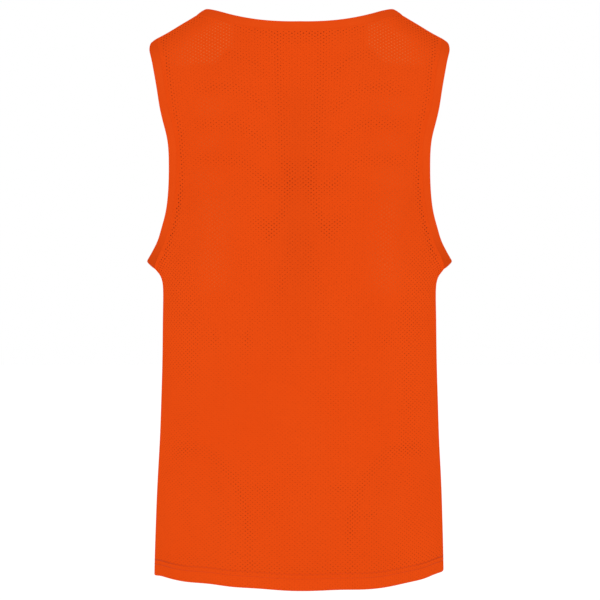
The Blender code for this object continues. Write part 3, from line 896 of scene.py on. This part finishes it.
def showing(points, distances, side):
    """How plainly the eyelets' painted shade shows over a panel, beyond its even faint look: the lines over
    the body, and bells of the distance above the hem, under the neck, beside the armholes, under the arm
    and where the shoulders roll over."""
    x, z = np.abs(points[..., 0]), points[..., 2]
    drop = shoulder_height(x) - z
    body = spine_lines(x, z) + rib_lines(x, z) + waist_lines(x, z) + hip_lines(x, z)
    hem = 0.30 * bump(distances["hem"], 0.0235, 0.0060)
    neck = 0.42 * bump(z, -0.0285, 0.0075) * bump(x, 0, 0.050) if side == BACK else 0.0
    ridge = 0.85 * before(drop, 0.0150, 0.006) + 0.36 * bump(drop, 0.030, 0.02) * bump(x, 0.150, 0.014)
    arm = 0.66 * bump(distances["bare"], 0.0085, 0.0055) * before(z, -0.17, 0.06)
    arm = arm + 0.60 * bump(distances["bare"], 0.0085, 0.0045) * before(np.abs(z + 0.140), 0.150, 0.04)
    under = 0.32 * bump(z, -0.306, 0.042) * past(x, 0.125, 0.03)
    return np.clip(body * (1.0 if side == BACK else FRONT_SHOWING) + hem + neck + ridge + arm + under, 0, 1)


def shining(points):
    """How much light the eyelets let through over a panel: a patch behind the front of each shoulder, with
    steps of smooth rise at its four sides, and a faint column of them down each shoulder blade."""
    x, z = np.abs(points[..., 0]), points[..., 2]
    drop = shoulder_height(x) - z
    lower = z + 0.0600 - 0.018 * before(x, 0.101, 0.018)
    patch = 0.68 * ease(lower / 0.007) * past(drop, 0.022, 0.018)
    patch = patch * past(x, 0.076, 0.007) * before(x, 0.170, 0.055)
    blade = 0.33 + 0.06 * before(z, -0.190, 0.04)
    blade = blade * before(z, -0.070, 0.02) * (1 - rib_wave(x, z) * past(z, -0.235, 0.05))
    from_middle = 0.107 - 0.007 * before(z, -0.190, 0.06)
    return patch + blade * bump(x, from_middle, 0.020) * past(z, -0.336, 0.02)


def pressed(points):
    """How hard the hem's stitches press into the cloth, which sets their dent and how dark their painted
    shade is: harder in two steps towards the sides.
    """
    x = np.abs(points[..., 0])
    return 0.10 + 0.12 * past(x, 0.05, 0.05) + 0.50 * past(x, 0.12, 0.045)


def folded_band(edge, seam, normal, run):
    """A strip folded round an opening's edge, as a profile carried along the loop. From its seam the outer
    leaf rises steeply, swells gently, turns round the fold on a half ellipse and comes back inside. Small
    puckers, a sine along the loop, die away from the seam."""
    width = np.linalg.norm(seam - edge, axis=-1)
    inward = unit(seam - edge)
    leaf, outer, inner = (column(LEAVES, LEAF_HEADINGS, heading) for heading in LEAF_HEADINGS)
    turn = np.radians((60, 30, 0))
    fold_share = leaf[-1] + (1 - leaf[-1]) * np.cos(turn)
    fold_high = outer[-1] * np.sin(turn)
    share = np.concatenate((leaf, fold_share, fold_share[-2::-1], leaf[::-1]))
    high = BAND_HALF * np.concatenate((outer, fold_high, -fold_high[-2::-1], -inner[::-1]))
    from_seam = share * BAND_WIDTH
    pucker = PUCKER * np.sin(run[None] * 2 * math.pi / PUCKER_PITCH + 1.3 * np.sin(run[None] * 60))
    pucker = pucker * bump(share[:, None], 0.12, 0.22)
    lift = high[:, None] + pucker * np.sign(high[:, None])
    points = edge[None] + inward[None] * (width[None] * (1 - share[:, None]))[..., None]
    points = points + normal[None] * lift[..., None]
    step = np.hypot(np.diff(from_seam), np.diff(high))
    v = np.concatenate(([0], np.cumsum(step)))
    uv = np.stack(np.broadcast_arrays(run[None], v[:, None]), axis=-1)
    seam_distance = np.broadcast_to(np.abs(from_seam)[:, None], lift.shape)
    return points, uv, seam_distance


def stitches(name, path, normal):
    """Stitches along a path: each a small pod, a diamond section that swells along the thread and sinks
    at both ends, repeated at even steps of the path's length."""
    run = lengths(path)
    count = int(run[-1] / STITCH_PITCH)
    at = (np.arange(count) + 0.5) * run[-1] / count
    centre = resampled(path, run, at)
    ahead, behind = (resampled(path, run, at + step) for step in (STITCH_PITCH / 2, -STITCH_PITCH / 2))
    along = unit(ahead - behind)
    out = unit(resampled(normal, run, at))
    over = unit(np.cross(along, out))
    ends = np.array((-0.5, -0.36, 0.0, 0.36, 0.5))
    swell = np.array((0.35, 0.85, 1.0, 0.85, 0.35))
    sink = np.array((-0.9, 0.0, 0.25, 0.0, -0.9))
    corner = np.radians((0, 90, 180, 270))
    sideways = (swell[:, None] * np.cos(corner)[None] * THREAD_WIDTH / 2)[..., None]
    upward = ((swell[:, None] * np.sin(corner)[None] + sink[:, None]) * THREAD_HEIGHT / 2)[..., None]
    forward = np.broadcast_to((ends * STITCH_LENGTH)[:, None, None], sideways.shape)
    parts = [v[:, None, None, :] for v in (centre, along, over, out)]
    points = parts[0] + parts[1] * forward + parts[2] * sideways + parts[3] * upward
    ring, k = np.meshgrid(np.arange(4) * 4, np.arange(4), indexing="ij")
    after = (k + 1) % 4
    skin = np.stack((ring + k, ring + after, ring + 4 + after, ring + 4 + k), axis=-1).reshape(-1, 4)
    caps = np.array(((3, 2, 1, 0), (16, 17, 18, 19)))
    one = np.vstack((skin, caps))[:, ::-1]
    faces = (one[None] + (np.arange(count) * 20)[:, None, None]).reshape(-1, 4)
    mesh = bpy.data.meshes.new(name)
    mesh.from_pydata(points.reshape(-1, 3).tolist(), [], faces.tolist())
    mesh.polygons.foreach_set("use_smooth", np.ones(len(faces), dtype=bool))
    mesh.update()
    return mesh


# ---------------------------------------------------------------- materials


class Graph:
    """Nodes of one material, added a call at a time."""

    def __init__(self, name):
        self.material = bpy.data.materials.new(name)
        self.material.use_nodes = True
        self.nodes = self.material.node_tree.nodes
        self.links = self.material.node_tree.links
        self.shader = self.nodes["Principled BSDF"]

    def put(self, socket, value):
        if isinstance(value, bpy.types.NodeSocket):
            self.links.new(value, socket)
        else:
            socket.default_value = value

    def math(self, operation, first, second=0.5):
        node = self.nodes.new("ShaderNodeMath")
        node.operation = operation
        for socket, value in zip(node.inputs, (first, second)):
            self.put(socket, value)
        return node.outputs[0]

    def product(self, first, second):
        """Two values multiplied."""
        return self.math("MULTIPLY", first, second)

    def wave(self, value, pitch):
        """A sine of a length, with one wave to a pitch."""
        return self.math("SINE", self.product(value, 2 * math.pi / pitch))

    def vector(self, operation, first, second=(0.0, 0.0, 0.0)):
        node = self.nodes.new("ShaderNodeVectorMath")
        node.operation = operation
        self.put(node.inputs[0], first)
        if operation == "SCALE":
            self.put(node.inputs["Scale"], second)
        elif operation not in ("FRACTION", "LENGTH"):
            self.put(node.inputs[1], second)
        return node.outputs["Value" if operation == "LENGTH" else "Vector"]

    def ramp(self, value, low, high, to_low=0.0, to_high=1.0):
        """Smooth step of a value between two limits, onto two others."""
        node = self.nodes.new("ShaderNodeMapRange")
        node.interpolation_type = "SMOOTHSTEP"
        given = {"Value": value, "From Min": low, "From Max": high, "To Min": to_low, "To Max": to_high}
        for key, number in given.items():
            self.put(node.inputs[key], number)
        return node.outputs[0]

    def bell(self, value, centre, width):
        """1 at the centre of a line, falling smoothly to 0 at its width on both sides."""
        off = self.math("ABSOLUTE", self.math("SUBTRACT", value, centre))
        return self.ramp(off, 0.0, width, 1.0, 0.0)

    def mix(self, share, first, second):
        node = self.nodes.new("ShaderNodeMix")
        node.data_type = "RGBA"
        self.put(node.inputs[0], share)
        self.put(node.inputs[6], first)
        self.put(node.inputs[7], second)
        return node.outputs[2]

    def noise(self, vector, scale, detail=2.0, output="Fac"):
        node = self.nodes.new("ShaderNodeTexNoise")
        self.put(node.inputs["Vector"], vector)
        node.inputs["Scale"].default_value = scale
        node.inputs["Detail"].default_value = detail
        return node.outputs[output]

    def attribute(self, name):
        node = self.nodes.new("ShaderNodeAttribute")
        node.attribute_name = name
        return node.outputs["Fac"]

    def uv(self):
        node = self.nodes.new("ShaderNodeUVMap")
        node.uv_map = "cloth"
        return node.outputs[0]

    def separate(self, vector):
        """A vector's first two numbers."""
        node = self.nodes.new("ShaderNodeSeparateXYZ")
        self.put(node.inputs[0], vector)
        return node.outputs[0], node.outputs[1]

    def relief(self, height, distance, strength):
        node = self.nodes.new("ShaderNodeBump")
        node.inputs["Strength"].default_value = strength
        node.inputs["Distance"].default_value = distance
        self.put(node.inputs["Height"], height)
        return node.outputs[0]


# Colours, as linear light
ORANGE = (0.722, 0.0618, 0.0045, 1.0)
ORANGE_LIGHT = (0.800, 0.0920, 0.0095, 1.0)
ORANGE_BAND = (0.682, 0.0612, 0.0050, 1.0)
ORANGE_DEEP = (0.480, 0.0370, 0.0040, 1.0)
# Painted shade in hollows: the inside seen through an eyelet, a seam's groove, a stitch row sunk in.
HOLLOW_SHADE = (0.255, 0.0220, 0.0040, 1.0)
PALE = (0.800, 0.2100, 0.0550, 1.0)
SHEEN = (1.0, 0.12, 0.01, 1.0)

# Eyelet mesh: how far holes wander; how strongly their painted shade shows at faintest, at plainest, beside
# a
#  binding and where deep is full; how much wider deep makes them; the strip beside a binding over which
#  they begin, and how much closer they come to a side or shoulder seam.
EYELET_WANDER = 0.0011
FAINT_SHOWING = (0.22, 0.33)
BESIDE_SHOWING = 0.16
DEEP_SHOWING = 0.64
DEEP_WIDENS = 0.28
PLAIN_STRIP = (0.0050, 0.0064)
SEAM_NEARER = 0.0044
# Steps of both knits' wales and courses, and of the overlock's loops
MESH_WALE = 0.0009
MESH_COURSE = 0.0007
BAND_WALE = 0.0016
BAND_COURSE = 0.0010
LOOP_PITCH = 0.0024


def finish_knit(g, roughness):
    """Matte polyester: little gloss, a faint sheen, no other reflections."""
    g.shader.inputs["Roughness"].default_value = roughness
    g.shader.inputs["Specular IOR Level"].default_value = 0.0
    g.shader.inputs["Sheen Weight"].default_value = 0.03
    g.shader.inputs["Sheen Roughness"].default_value = 0.5
    g.shader.inputs["Sheen Tint"].default_value = SHEEN
    return g.material


def to_nearest_eyelet(g, cloth, phase):
    """Distance to the nearest eyelet's middle: the eyelets stand on two lattices of the cloth's lengths,
    staggered by half a step each way. The phase shifts both."""
    cells = g.vector("MULTIPLY", cloth, (1 / EYELET_ACROSS, 1 / EYELET_UP, 0.0))
    nearest = []
    for stagger in (0.0, 0.5):
        part = g.vector("FRACTION", g.vector("ADD", cells, (phase + stagger, phase / 3 + stagger, 0.0)))
        part = g.vector("SUBTRACT", part, (0.5, 0.5, 0.0))
        nearest.append(g.vector("LENGTH", g.vector("MULTIPLY", part, (EYELET_ACROSS, EYELET_UP, 0.0))))
    return g.math("MINIMUM", *nearest)


def hem_sewing(g, across, hem):
    """How strongly the painted shade of the hem's two sunk stitch rows shows: bells of the height above its
    fold, broken into dashes by a wave along the hem, and stronger where the stitches press harder."""
    press = g.attribute("press")
    dash = g.ramp(g.wave(across, STITCH_PITCH), -0.9, 0.5, 0.6, 1.0)
    upper = g.product(g.bell(hem, STITCH_ROWS[1], 0.0011), press)
    lower = g.product(g.bell(hem, STITCH_ROWS[0], 0.0009), g.product(press, 0.7))
    return g.product(g.math("ADD", upper, lower), dash)


def eyelet_mesh(name, phase):
    """Eyelet mesh knit. Holes, painted dark as the shaded inside seen through them, stand on two staggered
    lattices of the cloth's lengths, wobbling a little; none show in the seam allowances beside the
    bindings, and they fade where the hem is double."""
    g = Graph(name)
    uv = g.uv()
    band, seam, hem, bare = (g.attribute(key) for key in ("band", "seam", "hem", "bare"))
    tone, pale, deep = (g.attribute(key) for key in ("tone", "pale", "deep"))
    wander = g.vector("SUBTRACT", g.noise(uv, 130.0, 1.0, "Color"), (0.5, 0.5, 0.5))
    cloth = g.vector("ADD", uv, g.vector("SCALE", wander, EYELET_WANDER))
    across, up = g.separate(cloth)

    # Holes: discs with a soft rim, of uneven size, wider where deep says.
    size = g.ramp(g.noise(uv, 240.0, 1.0), 0.3, 0.7, EYELET_RADIUS * 0.80, EYELET_RADIUS * 1.20)
    size = g.product(size, g.math("ADD", 1.0, g.product(deep, DEEP_WIDENS)))
    past_rim = g.math("SUBTRACT", to_nearest_eyelet(g, cloth, phase), size)
    open_mesh = g.ramp(g.math("MINIMUM", bare, g.math("ADD", seam, SEAM_NEARER)), *PLAIN_STRIP)
    hole = g.product(g.ramp(past_rim, -EYELET_RIM, EYELET_RIM, 1.0, 0.0), open_mesh)

    # How strongly their painted shade shows: patchy over the cloth, stronger beside the bindings and where
    # deep says.
    strength = g.ramp(g.noise(uv, 26.0, 2.0), 0.35, 0.68, *FAINT_SHOWING)
    strength = g.math("ADD", strength, g.product(g.bell(bare, 0.0080, 0.0034), BESIDE_SHOWING))
    strength = g.math("ADD", strength, g.product(deep, DEEP_SHOWING))
    strength = g.product(strength, g.math("SUBTRACT", 1.0, g.product(pale, 0.9)))
    strength = g.product(strength, g.ramp(hem, HEM_DEPTH - 0.004, HEM_DEPTH, 0.60, 1.0))
    strength = g.math("MINIMUM", strength, 1.0)

    # Ground colour: fine knit, broad tone, pale holes where light comes through, and light rims.
    fine = g.noise(uv, 1500.0)
    ground = g.mix(g.ramp(fine, 0.3, 0.7, 0.0, 0.10), ORANGE, ORANGE_DEEP)
    ground = g.mix(g.ramp(g.noise(uv, 9.0, 3.0), 0.3, 0.7, 0.0, 0.10), ground, ORANGE_LIGHT)
    ground = g.mix(g.product(g.product(hole, pale), 0.85), ground, PALE)
    rim = g.product(g.bell(past_rim, EYELET_RADIUS, EYELET_RADIUS), open_mesh)
    ground = g.mix(g.product(rim, 0.22), ground, ORANGE_LIGHT)
    # Painted shade: each eyelet is painted in the dark orange of the shaded inside seen through it.
    colour = g.mix(g.product(hole, strength), ground, HOLLOW_SHADE)

    # Seams sink a little, and painted shade darkens their groove; the hem's layers show as close upright
    # lines under its stitch rows; painted shade darkens the stitch rows where they sink in.
    sunk = g.bell(g.math("MINIMUM", band, seam), 0.0, 0.0013)
    colour = g.mix(g.product(sunk, 0.05), colour, HOLLOW_SHADE)
    double = g.ramp(hem, STITCH_ROWS[1], STITCH_ROWS[1] - 0.0008)
    lines = g.product(g.ramp(g.wave(across, EYELET_ACROSS / 2), 0.1, 0.9), double)
    colour = g.mix(g.product(lines, 0.08), colour, ORANGE_DEEP)
    sewing = hem_sewing(g, across, hem)
    colour = g.mix(sewing, colour, HOLLOW_SHADE)
    # Painted light and shade: the colour is scaled by the painted shading over the body.
    g.put(g.shader.inputs["Base Color"], g.vector("SCALE", colour, tone))

    # Relief: the knit's wales and courses and its fine fuzz, less whatever sinks.
    height = g.product(g.product(g.wave(across, MESH_WALE), g.wave(up, MESH_COURSE)), 0.34)
    height = g.math("ADD", height, g.product(fine, 0.25))
    for sinks in (hole, g.product(sunk, 0.4), g.product(sewing, 1.2)):
        height = g.math("SUBTRACT", height, sinks)
    g.put(g.shader.inputs["Normal"], g.relief(height, 0.00025, 0.7))
    return finish_knit(g, 0.86)


def smooth_knit(name):
    """Close plain knit of the bindings: fine wales and courses, broad tone, painted shade in the groove at
    its seam, and painted light and shade over its height.
    """
    g = Graph(name)
    uv = g.uv()
    along, across = g.separate(uv)
    fine = g.noise(uv, 1300.0)
    colour = g.mix(g.ramp(fine, 0.3, 0.7, 0.0, 0.12), ORANGE_BAND, ORANGE_DEEP)
    colour = g.mix(g.ramp(g.noise(uv, 22.0, 3.0), 0.3, 0.7, 0.0, 0.14), colour, ORANGE_LIGHT)
    knit = g.product(g.wave(along, BAND_WALE), g.wave(across, BAND_COURSE))
    colour = g.mix(g.ramp(knit, 0.2, 1.0, 0.0, 0.07), colour, ORANGE_DEEP)
    # Painted shade darkens the groove at the seam, which also sinks a little.
    sunk = g.bell(g.attribute("seam"), 0.0, 0.0016)
    colour = g.mix(g.product(sunk, 0.05), colour, HOLLOW_SHADE)
    # Painted light and shade: the colour is scaled by the binding's painted shading.
    g.put(g.shader.inputs["Base Color"], g.vector("SCALE", colour, g.attribute("tone")))
    height = g.math("ADD", g.product(knit, 0.3), g.product(fine, 0.4))
    height = g.math("SUBTRACT", height, g.product(sunk, 0.3))
    g.put(g.shader.inputs["Normal"], g.relief(height, 0.00018, 0.6))
    return finish_knit(g, 0.84)


def overlock(name):
    """Overlocked seam allowance: knit wrapped in thread loops that cross it at even steps."""
    g = Graph(name)
    uv = g.uv()
    along, across = g.separate(uv)
    loops = g.wave(g.math("ADD", along, g.product(across, 0.25)), LOOP_PITCH)
    fine = g.noise(uv, 900.0)
    colour = g.mix(g.ramp(loops, -0.4, 0.7, 0.0, 0.55), ORANGE_DEEP, ORANGE)
    colour = g.mix(g.ramp(fine, 0.3, 0.7, 0.0, 0.20), colour, ORANGE_LIGHT)
    g.put(g.shader.inputs["Base Color"], colour)
    g.put(g.shader.inputs["Normal"], g.relief(g.math("ADD", loops, fine), 0.0002, 0.8))
    return finish_knit(g, 0.82)


def sewing_thread(name):
    """Sewing thread: twisted, a touch glossier than the knit."""
    g = Graph(name)
    twist = g.noise(g.nodes.new("ShaderNodeTexCoord").outputs["Object"], 1800.0)
    colour = g.mix(g.ramp(twist, 0.3, 0.7, 0.0, 0.5), ORANGE, ORANGE_DEEP)
    g.put(g.shader.inputs["Base Color"], colour)
    g.put(g.shader.inputs["Normal"], g.relief(twist, 0.0001, 0.6))
    finish_knit(g, 0.62)
    g.shader.inputs["Specular IOR Level"].default_value = 0.15
    return g.material


def plain_floor(name):
    """Plain pale floor."""
    g = Graph(name)
    g.shader.inputs["Base Color"].default_value = (0.97, 0.97, 0.97, 1.0)
    g.shader.inputs["Emission Color"].default_value = (1.0, 1.0, 1.0, 1.0)
    g.shader.inputs["Emission Strength"].default_value = 0.08
    g.shader.inputs["Roughness"].default_value = 0.9
    g.shader.inputs["Specular IOR Level"].default_value = 0.1
    return g.material


# ---------------------------------------------------------------- camera, light and floor

scene = bpy.context.scene
scene.view_settings.view_transform = "Standard"
scene.view_settings.look = "None"

camera_data = bpy.data.cameras.new("camera")
camera_data.lens = 108.2
camera_data.sensor_width = 36.0
camera_data.clip_start = 0.05
camera_data.clip_end = 60.0
camera = bpy.data.objects.new("camera", camera_data)
camera.location = (0.0006, -2.2, -0.335)
camera.rotation_euler = (math.pi / 2, 0, 0)
scene.collection.objects.link(camera)
scene.camera = camera

world = bpy.data.worlds.new("studio")
world.use_nodes = True
world.node_tree.nodes["Background"].inputs["Color"].default_value = (1.0, 1.0, 1.0, 1.0)
world.node_tree.nodes["Background"].inputs["Strength"].default_value = 1.0
scene.world = world


def softbox(name, place, turn, size, power):
    """A large soft light."""
    data = bpy.data.lights.new(name, "AREA")
    data.shape = "RECTANGLE"
    data.size, data.size_y = size
    data.energy = power
    made = bpy.data.objects.new(name, data)
    made.location = place
    made.rotation_euler = [math.radians(t) for t in turn]
    scene.collection.objects.link(made)


softbox("left", (-1.4, -2.3, 0.8), (70, 0, -31), (2.0, 2.0), 7.5)
softbox("right", (1.4, -2.3, 0.8), (70, 0, 31), (2.0, 2.0), 7.5)
softbox("beyond", (0.0, 2.6, 0.6), (-72, 0, 0), (2.4, 2.0), 9.0)
softbox("top", (0.0, 0.3, 2.4), (0, 0, 0), (2.4, 2.4), 4.0)

# The floor lies well below the hem and reaches far out on every side
FLOOR = -1.5
REACH = 30
floor_mesh = bpy.data.meshes.new("floor")
floor_corners = [(x * REACH, y * REACH, FLOOR) for x, y in ((-1, -1), (1, -1), (1, 1), (-1, 1))]
floor_mesh.from_pydata(floor_corners, [], [(0, 1, 2, 3)])
floor = bpy.data.objects.new("floor", floor_mesh)
floor_mesh.materials.append(plain_floor("floor"))
scene.collection.objects.link(floor)

# ---------------------------------------------------------------- bib

edges, seams = {}, {}
for side in (BACK, FRONT):
    edges["arm", side] = armhole_edge(side)
    edges["neck", side] = neck_edge(side)
    seams["arm", side] = armhole_line(edges["arm", side], side, BAND_WIDTH)
    seams["neck", side] = neck_line(edges["neck", side], side, BAND_WIDTH)


def hem_stitching(name, side, body):
    """Twin rows of hem stitches on the outer face, at two heights above the fold. The body's rows climb
    from the fold, and each stitch row is read between the two that it lies between."""
    climbed = np.cumsum(np.linalg.norm(np.diff(body, axis=0), axis=-1), axis=0)
    climb = HEM_FOLD + np.concatenate((np.zeros((1, body.shape[1])), climbed))
    facing = unit(np.cross(np.gradient(body, axis=1), np.gradient(body, axis=0)))
    facing = facing * np.sign((facing[3, :, 1] * side).mean())
    columns = np.arange(body.shape[1])
    made = []
    for number, height in enumerate(STITCH_ROWS, 1):
        low = (climb < height).sum(axis=0) - 1
        below, above = climb[low, columns], climb[low + 1, columns]
        share = ((height - below) / (above - below))[:, None]
        path = body[low, columns] * (1 - share) + body[low + 1, columns] * share
        out = unit(facing[low, columns] * (1 - share) + facing[low + 1, columns] * share)
        label = f"{name}_hem_stitches_{number}"
        mesh = stitches(label, path + out * (PANEL_WALL / 2 + THREAD_CLEARANCE), out)
        made.append(placed(label, mesh, sewing_thread(f"{name}_thread_{number}")))
    return made


panels, hem_stitches, flats = {}, {}, {}
for side, name, phase in ((BACK, "back_panel", 0.31), (FRONT, "front_panel", 0.12)):
    grid = half_grid(side, seams["arm", side], seams["neck", side])
    points, uv, distances, fold_rows, tall = panel(side, grid, seams["arm", side], seams["neck", side])
    mesh = grid_mesh(
        name + "_mesh_knit",
        points,
        uv,
        turned=side == FRONT,
        # painted light and shade over the body
        tone=tones(points),
        pale=shining(points) * (1.0 if side == BACK else FRONT_SHINING),
        deep=showing(points, distances, side),
        press=pressed(points),
        **distances,
    )
    knit = eyelet_mesh(name + "_eyelet_mesh", phase)
    panels[side] = placed(name + "_cloth", mesh, knit, PANEL_WALL)
    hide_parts(name)
    hem_stitches[side] = hem_stitching(name, side, points[fold_rows - 1 :])
    cell = np.cross(points[1:, :-1] - points[:-1, :-1], points[:-1, 1:] - points[:-1, :-1])
    area = float(np.linalg.norm(cell, axis=-1).sum())
    body_rows = points[fold_rows : fold_rows + SIDE_ROWS]
    wide = float(np.linalg.norm(np.diff(body_rows, axis=1), axis=-1).sum(axis=1).max())
    flats[name] = (wide, tall, area)


def neck_ring(back, front):
    """Round the neck: out along the right half of the back, in along the front's, and the same mirrored."""
    mirror = np.array((-1.0, 1.0, 1.0))
    return np.concatenate((back, front[-2::-1], (front * mirror)[1:], (back * mirror)[-2::-1]))


def loop_points(kind, lines, sign):
    """Points and outward normals round a whole opening, from the lines on its back and its front."""
    found = []
    for side in (BACK, FRONT):
        across, up = lines[side].T
        found.append((form(across, up, side), outward(across, up, side)))
    (back, back_out), (front, front_out) = found
    if kind == "neck":
        return neck_ring(back, front), neck_ring(back_out, front_out)
    points = np.concatenate((back[::-1], front[1:]))
    out = np.concatenate((back_out[::-1], front_out[1:]))
    return points * (sign, 1, 1), out * (sign, 1, 1)


def joined_normals(out):
    """Normals round a loop, smoothed so that they turn evenly over the shoulder and under the arm."""
    ring_out = out[:-1]
    for _ in range(NORMAL_PASSES):
        ring_out = unit(ring_out + 0.5 * (np.roll(ring_out, 1, axis=0) + np.roll(ring_out, -1, axis=0)))
    return np.concatenate((ring_out, ring_out[:1]))


def binding_tone(kind, z):
    """Painted light and shade of a binding over its height: a little painted light about the middle; an
    armhole's gets painted shade under the arm and below the shoulder line, and the neck's towards the
    shoulder line."""
    tone = 1.0 + 0.02 * bump(z, -0.15, 0.05)
    if kind == "neck":
        return tone - 0.10 * past(z, -0.010, 0.024)
    under_arm = 0.09 * bump(z, -0.280, 0.022) + 0.09 * bump(z, -0.290, 0.009)
    return tone - under_arm - 0.10 * bump(z, -0.026, 0.018)


bands = {}
for name, kind, sign, count in (
    ("neck_binding", "neck", 1.0, 560),
    ("armhole_binding_right", "arm", 1.0, 420),
    ("armhole_binding_left", "arm", -1.0, 420),
):
    edge, edge_out = loop_points(kind, {s: edges[kind, s] for s in (BACK, FRONT)}, sign)
    seam, seam_out = loop_points(kind, {s: seams[kind, s] for s in (BACK, FRONT)}, sign)
    out = joined_normals(unit(edge_out + seam_out))
    run = lengths((edge + seam) / 2)
    at = np.linspace(0, run[-1], count + 1)
    edge, seam, out = resampled(edge, run, at), resampled(seam, run, at), unit(resampled(out, run, at))
    # The fold's outer face lies half a wall outside the leaf's middle.
    points, uv, from_seam = folded_band(edge + unit(seam - edge) * LEAF_WALL / 2, seam, out, at)
    mesh = grid_mesh(
        name + "_knit",
        points,
        uv,
        closed=True,
        turned=sign > 0 and kind == "arm",
        # painted light and shade over the binding's height
        tone=binding_tone(kind, points[..., 2]),
        seam=from_seam,
    )
    bands[name] = placed(name + "_cloth", mesh, smooth_knit(name + "_smooth_knit"), LEAF_WALL)
    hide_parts(name)
    flats[name] = (float(uv[..., 1].max()), float(run[-1]), None)


def allowance_strip(name, kind, sign):
    """The seam allowance that lies inside a panel beside a binding: lines at rising distances from the
    seam, moved inside the cloth, the outermost scalloped by the thread loops."""
    line_beside = armhole_line if kind == "arm" else neck_line
    inside = PANEL_WALL / 2 + ALLOWANCE_WALL / 2 + LOOP_CLEARANCE
    rows = []
    for distance in BAND_WIDTH + ALLOWANCE_STEPS:
        lines = {side: line_beside(edges[kind, side], side, distance) for side in (BACK, FRONT)}
        points, out = loop_points(kind, lines, sign)
        rows.append((points, points - joined_normals(out) * inside))
    run = lengths(rows[1][0])
    at = np.linspace(0, run[-1], LOOP_COLUMNS)
    points = np.array([resampled(moved, run, at) for _, moved in rows])
    scallop = SCALLOP * np.sin(at * 2 * math.pi / SCALLOP_PITCH)
    points[-1] += unit(points[-1] - points[-2]) * scallop[:, None]
    uv = np.stack(np.broadcast_arrays(at[None], ALLOWANCE_STEPS[:, None]), axis=-1)
    mesh = grid_mesh(name, points, uv, closed=True, turned=sign > 0 and kind == "arm")
    return placed(name, mesh, overlock(name + "_overlock"), ALLOWANCE_WALL)


def straight_allowance(name, across, up, sign):
    """An allowance along a side or shoulder seam, from places on the back's form moved inside it."""
    across, up = np.broadcast_arrays(across, up)
    inside = PANEL_WALL / 2 + ALLOWANCE_WALL / 2 + STRAIGHT_CLEARANCE
    points = settled(form(across, up, BACK) - outward(across, up, BACK) * inside, BACK) * (sign, 1, 1)
    uv = np.stack(np.broadcast_arrays(lengths(points[1])[None], ALLOWANCE_STEPS[:, None]), axis=-1)
    mesh = grid_mesh(name, points, uv, turned=sign > 0)
    return placed(name, mesh, overlock(name + "_overlock"), ALLOWANCE_WALL)


allowances = [
    allowance_strip("neck_seam_allowance", "neck", 1.0),
    allowance_strip("armhole_seam_allowance_right", "arm", 1.0),
    allowance_strip("armhole_seam_allowance_left", "arm", -1.0),
]
# Side seams from above the hem to under the arm, and shoulder seams a little short of both bindings.
away = ALLOWANCE_STEPS[:, None]
side_up = np.linspace(HEM_UP + HEM_DEPTH + 0.001, seams["arm", BACK][0, 1] - 0.006, SIDE_COLUMNS)[None]
over = np.linspace(seams["neck", BACK][-1, 0], seams["arm", BACK][-1, 0], SHOULDER_COLUMNS)[None]
over = over * (1 - SHOULDER_SHORT) + over.mean() * SHOULDER_SHORT
for label, sign in (("right", 1.0), ("left", -1.0)):
    beside = 1 - away / SECTION_LENGTH[-1]
    allowances.append(straight_allowance(f"side_seam_allowance_{label}", beside, side_up, sign))
    allowances.append(straight_allowance(f"shoulder_seam_allowance_{label}", over, RIDGE - away, sign))

# ---------------------------------------------------------------- cut sizes

wide, tall, area = flats["back_panel"]
wide, tall, area = flats["front_panel"]
for name, made in bands.items():
    wide, tall, _ = flats[name]
